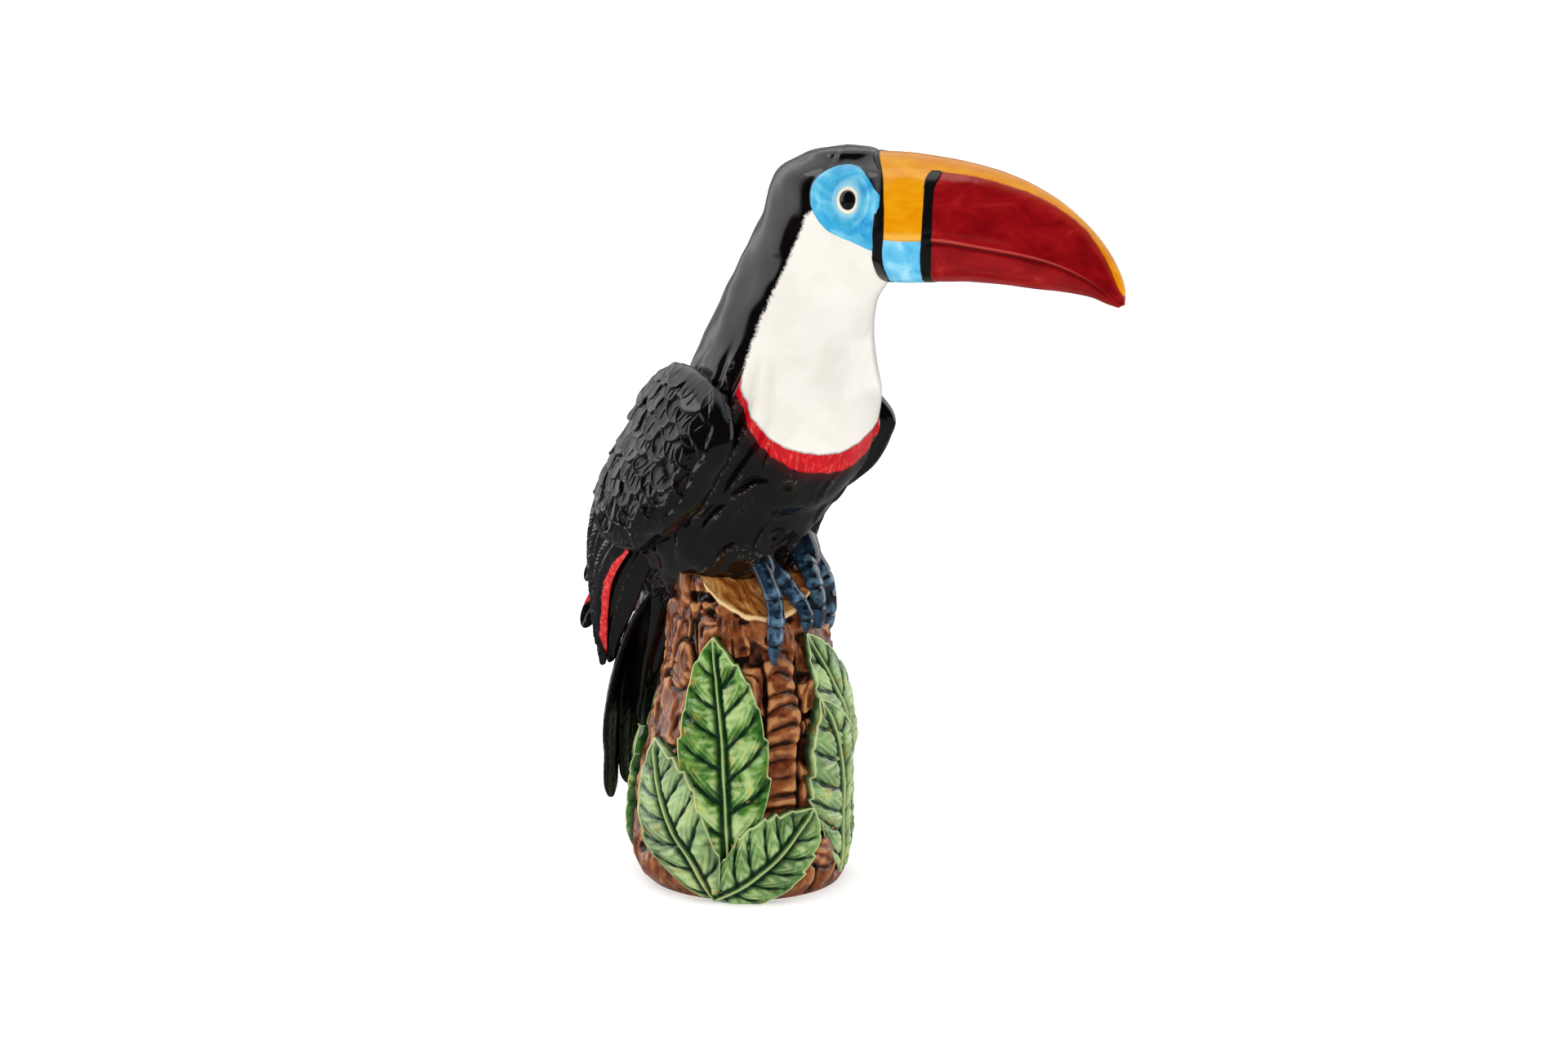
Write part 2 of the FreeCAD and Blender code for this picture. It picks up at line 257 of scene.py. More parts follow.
# ---- shader helpers -----------------------------------------------------------------------------
class Shader:
    """Short names for building a node material."""

    def __init__(self, name, roughness, coat, coat_roughness=0.03):
        self.material = bpy.data.materials.new(name)
        self.material.use_nodes = True
        self.tree = self.material.node_tree
        self.bsdf = self.tree.nodes["Principled BSDF"]
        self.bsdf.inputs["Roughness"].default_value = roughness
        self.bsdf.inputs["Coat Weight"].default_value = coat
        self.bsdf.inputs["Coat Roughness"].default_value = coat_roughness
        self.bsdf.inputs["IOR"].default_value = 1.5
        self.where = self.tree.nodes.new("ShaderNodeTexCoord").outputs["Object"]

    def put(self, socket, value):
        if isinstance(value, bpy.types.NodeSocket):
            self.tree.links.new(value, socket)
        else:
            socket.default_value = value

    def attribute(self, name):
        node = self.tree.nodes.new("ShaderNodeAttribute")
        node.attribute_name = name
        return node.outputs["Fac"]

    def noise(self, size_mm, detail=3, rough=0.5, distortion=0.0, stretch=None):
        node = self.tree.nodes.new("ShaderNodeTexNoise")
        node.inputs["Scale"].default_value = 1000 / size_mm
        node.inputs["Detail"].default_value = detail
        node.inputs["Roughness"].default_value = rough
        node.inputs["Distortion"].default_value = distortion
        where = self.where
        if stretch:
            mapping = self.tree.nodes.new("ShaderNodeMapping")
            mapping.inputs["Scale"].default_value = stretch
            self.tree.links.new(where, mapping.inputs["Vector"])
            where = mapping.outputs["Vector"]
        self.tree.links.new(where, node.inputs["Vector"])
        return node.outputs["Fac"]

    def swing(self, *args):
        """Noise that swings either side of nought."""
        return self.math("SUBTRACT", self.noise(*args), 0.5)

    def math(self, operation, *values):
        node = self.tree.nodes.new("ShaderNodeMath")
        node.operation = operation
        for socket, value in zip(node.inputs, values):
            self.put(socket, value)
        return node.outputs[0]

    def times(self, a, b):
        return self.math("MULTIPLY", a, b)

    def plus(self, a, b, share=1.0):
        """a and a share of b."""
        return self.math("ADD", a, self.times(b, share))

    def step(self, x, low, high):
        """0 at low, 1 at high, smooth between."""
        node = self.tree.nodes.new("ShaderNodeMapRange")
        node.interpolation_type = "SMOOTHSTEP"
        self.put(node.inputs[0], x)
        node.inputs[1].default_value = low
        node.inputs[2].default_value = high
        return node.outputs[0]

    def tint(self, colour, mask, target, share=1.0):
        """The colour moved toward target, by up to a share where mask is 1."""
        node = self.tree.nodes.new("ShaderNodeMix")
        node.data_type = "RGBA"
        self.put(node.inputs[0], self.times(mask, share))
        self.put(node.inputs[6], colour)
        self.put(node.inputs[7], target)
        return node.outputs[2]

    def ramp(self, factor, *stops):
        """A colour for each (position, red, green, blue) stop, blended between them."""
        node = self.tree.nodes.new("ShaderNodeValToRGB")
        ramp = node.color_ramp
        while len(ramp.elements) < len(stops):
            ramp.elements.new(0.5)
        for element, (position, *colour) in zip(ramp.elements, stops):
            element.position = position
            element.color = rgb(*colour)
        self.tree.links.new(factor, node.inputs[0])
        return node.outputs[0]

    def finish(self, colour, height, distance_mm, strength=0.5):
        """Colours the glaze and gives it a fine relief; returns the material."""
        self.put(self.bsdf.inputs["Base Color"], colour)
        node = self.tree.nodes.new("ShaderNodeBump")
        node.inputs["Distance"].default_value = distance_mm * MM
        node.inputs["Strength"].default_value = strength
        self.tree.links.new(height, node.inputs["Height"])
        self.tree.links.new(node.outputs[0], self.bsdf.inputs["Normal"])
        self.tree.links.new(node.outputs[0], self.bsdf.inputs["Coat Normal"])
        return self.material


def rgb(red, green, blue):
    """A colour picked on a screen, 0 to 255, as the linear values that a shader takes."""
    out = []
    for v in (red / 255, green / 255, blue / 255):
        out.append(v / 12.92 if v <= 0.04045 else ((v + 0.055) / 1.055) ** 2.4)
    return (*out, 1.0)


# ---- glazes -------------------------------------------------------------------------------------
def black_glaze(name, paint=None, wear=0.3):
    """Thick black glaze, warm in places and paler where it is thin on sharp ridges; paint goes over it."""
    s = Shader(name, roughness=0.05, coat=0.2, coat_roughness=0.01)
    ridge = s.step(s.attribute("cavity"), 0.28, 0.8)
    worn = s.times(ridge, s.step(s.noise(2.6, 4, 0.7), 0.52, 0.66))
    warm = s.step(s.noise(20), 0.45, 0.75)
    colour = s.tint(rgb(7, 6, 7), warm, rgb(20, 11, 7), 0.5)
    colour = s.tint(colour, worn, rgb(150, 142, 134), wear)
    if paint:
        colour = paint(s, colour)
    return s.finish(colour, s.noise(16, 2), 0.22)


def skin_glazes(s, black):
    """The bird's painted areas over the black, on the body and on the bill's root."""
    wobble, fine, mid = s.swing(9, 3, 0.6), s.swing(1.3, 5, 0.8), s.swing(3.0, 3, 0.6)
    # bib: warm white with faint beige clouds and a dry-brushed grey edge at the back
    cloud = s.step(s.noise(22, 4, 0.55, 0.5), 0.40, 0.72)
    white = s.tint(rgb(238, 234, 225), cloud, rgb(219, 212, 199), 0.35)
    bib = s.plus(s.attribute("bib"), wobble, 2.6)
    brushed = s.plus(s.plus(bib, fine, 7.0), mid, 3.0)
    dry = s.step(s.attribute("rear"), 0.2, 0.8)
    clean = s.times(s.plus(bib, fine, 0.8), s.math("SUBTRACT", 1.0, dry))
    edge = s.plus(clean, s.times(brushed, dry))
    colour = s.tint(black, s.step(edge, -0.9, 0.0), rgb(150, 143, 142))
    colour = s.tint(colour, s.step(edge, -0.1, 1.2), white)
    # red band below it
    streak = s.noise(3.0, 3, 0.55, 0.0, (1.7, 1.7, 0.16))
    red = s.tint(rgb(196, 12, 26), s.step(streak, 0.50, 0.72), rgb(228, 88, 78))
    red = s.tint(red, s.step(s.noise(9, 2), 0.45, 0.7), rgb(170, 8, 18), 0.45)
    red_edge = s.plus(s.plus(s.attribute("red"), fine, 1.6), mid, 1.6)
    below = s.step(bib, 0.2, -0.25)
    veil = s.times(s.step(red_edge, -5.0, 0.2), below)
    colour = s.tint(colour, veil, rgb(96, 12, 16), 0.30)
    colour = s.tint(colour, s.times(s.step(red_edge, -0.3, 0.5), below), red)
    # eye patch: brushed blue over pale blue, in loops round the eye
    blue = s.ramp(s.noise(13, 3, 0.55, 0.7), (0.30, 36, 142, 198), (0.46, 68, 170, 212),
                  (0.60, 104, 192, 222), (0.74, 158, 214, 230))
    eye = s.attribute("eye")
    loops = s.math("SINE", s.times(s.plus(eye, wobble, 5), 0.9))
    blue = s.tint(blue, s.step(loops, 0.2, 1.0), rgb(52, 158, 214), 0.35)
    patch = s.plus(s.attribute("patch"), mid, 0.9)
    colour = s.tint(colour, s.step(patch, -0.25, 0.25), blue)
    # a pale halo and a cream ring round the eye
    on = s.step(patch, 0, 1)
    colour = s.tint(colour, s.times(s.step(eye, 10.5, 7.0), on), rgb(168, 210, 222), 0.6)
    return s.tint(colour, s.times(s.step(s.plus(eye, wobble, 0.7), 6.9, 6.3), on), rgb(246, 234, 214))


def red_edge_glaze(s, black):
    """Streaky red over the black along a feather's front edge."""
    streak = s.noise(2.0, 4, 0.65, 0.4, (1, 1, 0.6))
    red = s.ramp(streak, (0.3, 176, 18, 24), (0.5, 212, 44, 46), (0.68, 230, 104, 96))
    front = s.plus(s.attribute("front"), s.swing(3, 4, 0.65), 1.6)
    return s.tint(black, s.step(front, -0.3, 0.3), red)


def bill_glaze():
    """Painted panels: yellow and blue at the root, red past the black bar, and the bird's skin behind."""
    s = Shader("bill_glaze", roughness=0.07, coat=0.0)
    s.bsdf.inputs["Specular IOR Level"].default_value = 0.32
    drift = s.plus(s.swing(8), s.swing(2.2, 4, 0.65), 0.6)
    red = s.ramp(s.noise(12, 4, 0.6, 0.6, (0.45, 1, 1)), (0.30, 108, 4, 10), (0.48, 130, 8, 14),
                 (0.62, 146, 16, 20), (0.78, 168, 42, 40))
    yellow = s.ramp(s.noise(12, 4, 0.6, 0.8, (0.5, 1, 1)), (0.30, 208, 126, 3), (0.52, 220, 143, 4),
                    (0.74, 228, 163, 26))
    blue = s.ramp(s.noise(12, 3, 0.55, 0.6), (0.30, 72, 168, 212), (0.50, 104, 190, 226),
                  (0.68, 158, 214, 234))
    mouth = s.plus(s.attribute("mouth"), drift, 0.5)
    stripe = s.plus(s.attribute("stripe"), drift)
    # paler glaze along the lower edge of the yellow panel, then yellow above blue
    pale = s.times(s.step(mouth, 5.0, 1.5), s.step(mouth, 0.0, 1.2))
    yellow = s.tint(yellow, pale, rgb(238, 192, 92), 0.55)
    colour = s.tint(blue, s.step(mouth, -0.5, 0.3), yellow)
    # the red field past the bar leaves the culmen yellow
    past = s.step(s.plus(s.attribute("past"), drift), -2.0, -1.4)
    red = s.tint(red, s.step(stripe, -4.5, -0.5), rgb(178, 58, 40), 0.35)
    colour = s.tint(colour, s.times(past, s.step(stripe, 0.5, -0.4)), red)
    # a thin bright line where the glaze breaks over the lip of the mouth, and a painted shadow in the groove
    # under it
    cavity = s.attribute("cavity")
    colour = s.tint(colour, s.times(s.step(cavity, 0.22, 0.6), past), rgb(196, 84, 74), 0.55)
    # painted shadow: near-black red where the cavity is low, in the groove under the lip
    colour = s.tint(colour, s.times(s.step(cavity, -0.12, -0.5), past), rgb(60, 6, 8), 0.7)
    # black bar, black band at the root, and the skin behind it
    black = rgb(13, 12, 13)
    colour = s.tint(colour, s.step(s.plus(s.attribute("bar"), drift, 0.5), -0.3, 0.3), black)
    colour = s.tint(colour, s.step(s.plus(s.attribute("band"), drift, 0.5), 0.3, -0.3), black)
    root = s.step(s.plus(s.attribute("root"), drift, 0.6), 0.2, -0.3)
    return s.finish(s.tint(colour, root, skin_glazes(s, black)), s.noise(16), 0.2)


def foot_glaze():
    """Dark blue glaze, paler on flanks and claws, paler on the knuckles where the glaze is thin and as a
    painted highlight, and nearly black in the grooves.
    """
    s = Shader("foot_glaze", roughness=0.05, coat=0.9, coat_roughness=0.02)
    colour = s.ramp(s.noise(7, 4, 0.6), (0.34, 6, 9, 16), (0.50, 12, 22, 36), (0.64, 26, 46, 68),
                    (0.80, 70, 102, 128))
    speck = s.swing(4, 3, 0.6)
    flank = s.step(s.plus(s.attribute("flank"), speck, 2.08), 0.2, 1.3)
    colour = s.tint(colour, flank, rgb(50, 82, 112), 0.32)
    colour = s.tint(colour, s.attribute("claw"), rgb(66, 108, 140), 0.55)
    # painted highlight along the knuckles, strongest on the toe's top, where the glaze is also thin
    thin_glaze_and_highlight = s.step(s.plus(s.attribute("cavity"), speck, 1.95), 0.10, 0.95)
    colour = s.tint(colour, thin_glaze_and_highlight, rgb(120, 158, 184), 0.6)
    colour = s.tint(colour, s.step(s.attribute("cavity"), -0.10, -0.40), rgb(4, 7, 15))
    return s.finish(colour, s.noise(6), 0.3)


def bark_glaze():
    """Brown glaze, honey on ridges where the glaze is thin and as a painted highlight, nearly black in
    cracks, with the pale cut face and foot ring.
    """
    s = Shader("bark_glaze", roughness=0.10, coat=0.25)
    brown = s.ramp(s.noise(9, 5, 0.62), (0.28, 74, 30, 13), (0.44, 106, 52, 26), (0.58, 134, 74, 40),
                   (0.74, 170, 108, 62))
    fine = s.times(s.swing(2.2, 4, 0.7, 0, (1, 1, 0.5)), 0.9)
    cavity = s.plus(s.attribute("cavity"), fine)
    colour = s.tint(brown, s.step(cavity, 0.10, -0.9), rgb(34, 12, 4), 0.95)
    # honey on ridges: thin glaze, and a painted highlight as well
    colour = s.tint(colour, s.step(cavity, 0.30, 1.1), rgb(204, 144, 92), 0.75)
    colour = s.tint(colour, s.step(s.attribute("depth"), -1.4, -3.0), rgb(16, 6, 3), 0.8)
    # the cut wood face and its cream rim
    streak = s.noise(9, 5, 0.66, 1.2, (0.5, 1.2, 0.8))
    wood = s.ramp(streak, (0.34, 92, 42, 12), (0.46, 152, 86, 34), (0.57, 196, 134, 70),
                  (0.72, 230, 186, 124))
    region = s.attribute("region")
    colour = s.tint(colour, s.step(region, 0.3, 0.7), wood)
    rim = s.step(s.plus(s.attribute("rim"), fine, 0.35), 0.30, 0.8)
    colour = s.tint(colour, rim, rgb(240, 206, 150), 0.9)
    # bare clay on the foot ring and in the hollow
    colour = s.tint(colour, s.step(region, -0.1, -0.5), rgb(222, 204, 180))
    return s.finish(colour, s.noise(2.0, 4, 0.65, 0, (1, 1, 0.35)), 0.4, 0.6)


def leaf_glaze():
    """Green glaze, pale on high spots and rims, dark in veins and hollows, with ochre specks; the walls under
    its rim are painted dark as shadow.
    """
    s = Shader("leaf_glaze", roughness=0.05, coat=0.6, coat_roughness=0.02)
    green = s.ramp(s.noise(17, 5, 0.62, 0.8), (0.33, 26, 72, 26), (0.44, 62, 112, 40), (0.52, 104, 148, 66),
                   (0.60, 156, 190, 124), (0.69, 190, 196, 96))
    fine = s.times(s.swing(3.4, 4, 0.65), 0.9)
    cavity = s.plus(s.attribute("cavity"), fine)
    level = s.plus(s.attribute("level"), fine, 1.6)
    colour = s.tint(green, s.attribute("pale"), rgb(176, 198, 146))
    colour = s.tint(colour, s.step(level, 1.8, 3.8), rgb(188, 206, 138), 0.5)
    colour = s.tint(colour, s.step(cavity, 0.20, 1.1), rgb(200, 212, 150), 0.6)
    speck = s.times(s.step(s.noise(11, 2), 0.58, 0.70), s.step(s.noise(3.6, 4, 0.7), 0.44, 0.58))
    colour = s.tint(colour, speck, rgb(184, 138, 40), 0.65)
    # dark in low spots and hollows; this also paints the walls under the leaf's rim as painted shadow
    colour = s.tint(colour, s.step(level, 1.4, -0.8), rgb(20, 62, 24), 0.75)
    colour = s.tint(colour, s.step(cavity, 0.10, -0.8), rgb(10, 40, 18), 0.85)
    colour = s.tint(colour, s.step(s.attribute("vein"), 0.40, 0.95), rgb(12, 40, 28), 0.85)
    colour = s.tint(colour, s.step(s.attribute("mid"), 0.75, 0.35), rgb(176, 196, 124), 0.75)
    rim = s.step(s.plus(s.attribute("edge"), fine, 0.7), 0.65, 0.1)
    colour = s.tint(colour, rim, rgb(216, 220, 156), 0.85)
    return s.finish(colour, s.noise(5), 0.4)


# ---- bird ---------------------------------------------------------------------------------------
BIRD = [
    (-64, 0, 148, 62, 0, 7.5, 7), (-54, 0, 163, 56, 0, 23, 22), (-38, 0, 184, 48, 0, 37, 36),
    (-18, 0, 209, 38, 0, 47, 46), (3, 0, 238, 30, 0, 52.5, 52), (22, 0, 265, 20, 0, 55, 52),
    (30, 0, 289, 13, 0, 52, 48), (36, 0, 314, 12, 0, 46.5, 41), (46, 0, 340, 10, 0, 42.5, 33),
    (56, 0, 364, 8, 0, 42, 29), (61, 0, 385, 2, 0, 38.5, 27), (62.5, 0, 400, 0, 0, 33, 22.5),
    (65, 0, 407, -2, 0, 23, 15), (67, 0, 410.4, -2, 0, 13, 9), (68, 0, 411.6, -2, 0, 3, 2),
]
# Painted outlines on the bird, in degrees round from the front and the height of the section's middle.
BIB = [
    (-88, 377), (-89, 361), (-89.5, 348), (-88.5, 333), (-87.5, 318), (-87, 305), (-86.5, 294), (-84, 286),
    (-77, 278), (-67, 271), (-57, 267.5), (-47, 266), (-36, 265.7), (-24, 266.2), (-10, 268), (0, 269.8),
    (12, 272.6), (24, 276), (40, 280), (56, 284), (66, 289), (71, 298), (74, 312), (76, 330), (78, 348),
    (82, 362), (85, 377), (60, 392), (0, 396), (-60, 392),
]
RED = [
    (-86, 291), (-85, 283), (-79, 276.5), (-73, 270.5), (-65, 264), (-54, 260.6), (-40, 258.4), (-24, 258),
    (-7, 259.6), (8, 262), (18, 265.5), (32, 269.5), (48, 274), (60, 279), (70, 288), (74, 300), (0, 330),
]
# The eye patch and the middle of the eye, in X and Z.
PATCH = [
    (81, 403.6), (86.5, 402.2), (91.5, 399.4), (96, 395.6), (99.5, 392), (104, 389), (106, 380), (106, 366),
    (101, 360.5), (97, 359.8), (93, 361.2), (86.6, 363.8), (81, 365.8), (77, 367.6), (72.5, 370.4),
    (69.4, 373.6), (66, 378), (64.2, 383), (63.8, 388), (64.8, 393.4), (67.4, 397.6), (71.4, 400.8),
    (76, 403),
]
EYE = (84.6, 385.6)
EYE_Y = 22.6
# Where the belly settles onto the stump: how far, then the middle and reach in X, and in Y with the power
# that shapes its edge, and the heights over which it fades out.
SETTLING = [
    (7.5, (12, 30), (0, 36, 4), (216, 188)),
    (0.5, (26, 13), (-6, 20, 4), (220, 196)),
    (2.5, (12, 20), (-24, 16, 2), (222, 196)),
]
# Thighs over the feet: a middle and a reach.
THIGHS = [
    ((17, -24, 192), (18, 15, 20)), ((17, 21, 194), (18, 15, 20)),
    ((-10, -36, 190), (20, 14, 18)), ((-10, 34, 190), (20, 14, 18)),
]


def bill_half(x, z):
    """Half width of the bill's root at a point of the side view, in mm; nought outside it."""
    x = np.clip(x, 84, 108)
    middle = np.interp(x, [84, 98, 124], [377, 376, 376])
    tall = np.interp(x, [84, 98, 124], [33, 34.3, 33])
    wide = np.interp(x, [84, 98, 124], [20.0, 22.3, 21.6])
    return wide * np.sqrt(np.clip(1 - ((z - middle) / tall) ** 2, 0, 1))


def from_eye(x, z):
    """Distance from the middle of the eye in the side view, in slightly tall rings."""
    return np.hypot((x - EYE[0]) * 1.12, (z - EYE[1]) * 0.95)


def eye_patch(p):
    """Signed distance inside the eye patch, on either side of the head."""
    return np.where(np.abs(p[..., 1]) > 2, inside(p[..., 0], p[..., 2], PATCH), -9)


def fill_cheeks(p, angle):
    """The cheeks swell to meet the bill, so the eye patch runs smoothly onto it."""
    x, z = p[..., 0].copy(), p[..., 2].copy()
    want = (bill_half(x, z) + 0.45) * smoothstep(x, 66, 84)
    want = want * smoothstep(z, 343, 352) * smoothstep(z, 410, 400)
    y = np.abs(p[..., 1])
    soft = 3.0
    fuller = np.maximum(soft * np.logaddexp(y / soft, want / soft) - 0.25, y)
    side = np.where(np.sin(angle) >= 0, 1.0, -1.0)[None, :]
    p[..., 1] = side * (y + (fuller - y) * smoothstep(want, 0.5, 4))
    p[..., 0] += 4.6 * smoothstep(x, 84, 97) * smoothstep(z, 340, 350) * smoothstep(z, 411, 402)


def settle_belly(p):
    """The belly settles onto the stump between the feet."""
    x, y, z = p[..., 0], p[..., 1], p[..., 2]
    drop = 0
    for depth, (mid_x, wide), (mid_y, deep, power), (clear, full) in SETTLING:
        reach = bump(x, mid_x, wide) * np.exp(-(((y - mid_y) / deep) ** power))
        drop = drop + depth * reach * smoothstep(z, clear, full)
    p[..., 2] -= drop


def dimples(p, where, count, seed):
    """Shallow round dents with a soft raised edge, left by a modelling tool."""
    rng = np.random.default_rng(seed)
    out = np.zeros(where.shape)
    ok = np.argwhere(where > 0.9)
    for i, j in ok[rng.integers(0, len(ok), count)]:
        gap = np.linalg.norm(p - p[i, j], axis=2) / rng.uniform(2.6, 5.2)
        out += rng.uniform(0.5, 1.2) * (0.8 * bump(gap, 1.25, 0.45) - np.exp(-(gap**2) * 1.2))
    return out * where


def strokes(p, normal, where, count, seed):
    """Short moulded feather strokes, a ridge beside a groove, on the belly and thighs."""
    rng = np.random.default_rng(seed)
    out = np.zeros(where.shape)
    ok = np.argwhere(where > 0.9)
    for i, j in ok[rng.integers(0, len(ok), count)]:
        n = normal[i, j]
        down = p[max(i - 4, 0), j] - p[min(i + 4, len(p) - 1), j]
        down = unit(down - n * (down @ n))
        turn = rng.normal(0, 0.32)
        side = np.cross(n, down)
        along = down * math.cos(turn) + side * math.sin(turn)
        across = side * math.cos(turn) - down * math.sin(turn)
        length, width = rng.uniform(6, 15), rng.uniform(1.3, 2.3)
        near = p - p[i, j]
        a = near @ along / length
        b = near @ across - 2.0 * a**2
        window = np.exp(-(a**4) * 1.5) * (np.linalg.norm(near, axis=2) < 2.2 * length)
        ridge = bump(b, width * 0.8, width) - 1.1 * bump(b, -width * 0.4, width * 0.75)
        out += rng.uniform(0.5, 1.3) * window * ridge
    return np.clip(out, -2.2, 2.0) * where


def bird_relief(p, degrees, middle, bib, patch):
    """Height of the hand-modelled surface, given where it is painted."""
    normal = grid_normals(p)
    x, z = p[..., 0], p[..., 2]
    away = np.abs(degrees)
    neck = smoothstep(middle, 285, 310) * (1 - smoothstep(middle, 398, 410))
    back = smoothstep(away, 78, 104)
    # slow dents, more on the neck's black
    d = 0.75 * noise(p, (26, 26, 20), 3) + 0.3 * noise(p, 12, 4)
    d = d * (0.35 + 1.3 * back * neck + 0.9 * (1 - neck))
    d += back * neck * 0.9 * noise(p, (15, 15, 12), 5)
    # lumps, feather strokes and dents on the chest
    chest = (1 - smoothstep(bib, -5, 1)) * (1 - neck)
    size = np.array((21, 21, 28))
    d += 3.2 * (noise(p, size, 6) + 0.5 * noise(p, size * 0.5, 23)) / 1.5 * chest
    d += 1.2 * strokes(p, normal, chest, 170, 11) + dimples(p, chest, 40, 12)
    # a small step where the thick black meets the bib, and rings round the eye
    d += 0.35 * (1 - smoothstep(bib, -2.5, 0.5)) * smoothstep(middle, 262, 280) * smoothstep(bib, -22, -6)
    ring = from_eye(x, z)
    rings = 1.0 * bump(ring, 8.4, 1.4) - 1.2 * bump(ring, 10.8, 1.3) + 0.35 * bump(ring, 14, 1.6)
    rings += 0.4 * noise(np.stack([ring * 2.2, 0 * x, z], -1), 9, 8)
    d += smoothstep(patch, -1, 2) * (0.45 + rings)
    # thighs, and folds where the wing meets the breast
    for centre, size in THIGHS:
        gap = np.linalg.norm((p - np.array(centre)) / size, axis=2)
        d += 3.0 * np.exp(-(gap**2) * 1.3)
    fold = smoothstep(away, 58, 70) * smoothstep(away, 112, 92)
    fold = fold * smoothstep(middle, 205, 228) * smoothstep(middle, 312, 288)
    d += fold * 1.9 * np.sin(away * 0.55 + 2.4 * noise(p, (30, 30, 30), 14))
    # the crown is smooth
    d = d * (1 - 0.75 * smoothstep(z, 401, 409))
    return normal, round_blur(d, 0.6, 0.6)


def bird():
    """The body, neck and head with their painted areas."""
    def spread(share):
        # columns crowd toward the breast and the sides
        turn = 2 * np.pi * share
        return turn - 0.25 * np.sin(turn)

    p, angle, r = sections(BIRD, 330, 290, spread)
    degrees = (np.degrees(angle) + 180) % 360 - 180
    degrees = np.broadcast_to(degrees, p.shape[:2])
    middle = np.broadcast_to(r[:, 2:3], p.shape[:2])
    fill_cheeks(p, angle)
    settle_belly(p)
    x, z = p[..., 0], p[..., 2]
    # painted areas, as signed distances in mm; a degree round the bird is about 0.8 mm
    bib, red = (inside(degrees * 0.8, middle, np.array(line) * (0.8, 1)) for line in (BIB, RED))
    bib = bib - 20 * smoothstep(z, 379, 386)
    patch = eye_patch(p)
    normal, d = bird_relief(p, degrees, middle, bib, patch)
    q = p + normal * d[..., None]
    # the throat draws in under the bill
    q[..., 0] -= 3.8 * smoothstep(x, 58, 78) * smoothstep(z, 276, 318) * smoothstep(z, 343, 328)
    fields = {
        "cavity": d - round_blur(d, 4, 4),
        "bib": bib,
        "red": red,
        "patch": patch,
        "eye": from_eye(x, z),
        "rear": smoothstep(np.abs(degrees), 68, 80) * smoothstep(middle, 288, 296),
    }
    glaze = black_glaze("body_glaze", skin_glazes)
    make_piece("body_shell", [(q, fields)], glaze, "bird_shell")


# ---- bill ---------------------------------------------------------------------------------------
BILL = [
    (84, 0, 377, 90, 0, 33, 20), (98, 0, 376, 92, 0, 34.3, 22.5), (124, 0, 376, 93, 0, 33, 21.5),
    (151, 0, 375.3, 95, 0, 30.3, 19), (174, 0, 372, 99, 0, 27.3, 16.5), (193, 0, 367.3, 105, 0, 23.4, 13.8),
    (208, 0, 361.8, 113, 0, 18.8, 11.2), (220, 0, 355.3, 122, 0, 13.8, 8.6),
    (228.5, 0, 348.8, 132, 0, 9.2, 6.4), (233.6, 0, 343.2, 142, 0, 5.6, 4.4),
    (236.3, 0, 339.6, 146, 0, 2.0, 1.9),
]
# Lines on the bill's side, X and Z: the fold of the mouth, and the yellow culmen's lower edge.
MOUTH = [
    (80, 366.2), (107, 366.2), (121, 366.3), (136, 367.4), (156, 366), (179, 363.6), (199, 360.4),
    (212, 356.6), (222.5, 351.8), (230, 346.6), (235.5, 341), (240, 336),
]
STRIPE = [
    (80, 402), (135, 402.4), (151, 401.1), (166, 398.7), (185, 394), (199.5, 388.2), (213, 380),
    (224.4, 369), (233, 355.6), (238, 345),
]
# Edges that run up the bill, from -1 at the bottom to 1 at the top, and their X.
BAND_EDGE = [
    (-1.0, 99.5), (-0.95, 101), (-0.75, 103), (-0.5, 104.6), (-0.3, 106.4), (0.0, 107.6), (0.4, 106),
    (0.7, 102), (0.9, 96), (1.0, 91.5),
]
BAR_BACK = [
    (-1.0, 120.5), (-0.8, 124), (-0.55, 126.5), (-0.25, 128.8), (0.0, 129.8), (0.35, 129.6), (0.6, 128.4),
    (0.72, 127.8), (0.8, 128.2),
]
BAR_FRONT = [
    (-1.0, 126), (-0.8, 130), (-0.55, 133), (-0.25, 135), (0.0, 135.8), (0.35, 135.4), (0.6, 134.6),
    (0.72, 135.2), (0.78, 137),
]
# The bar's slanting top, in X and Z.
BAR_TOP = [
    (128.4, 393), (128.0, 397), (128.0, 399.5), (128.6, 401.6), (129.8, 402.9), (134.4, 403),
    (136.2, 402.2), (135.6, 399.6), (135.0, 396), (134.8, 393),
]
# Back edge of the black band at the bill's root: height, then X.
ROOT_EDGE = [
    (336, 90), (343, 95.0), (350, 96.4), (356, 97.2), (363, 99.6), (375, 100.9), (388, 102.4),
    (395, 101.8), (401, 99.6), (406, 94.5), (411, 87),
]


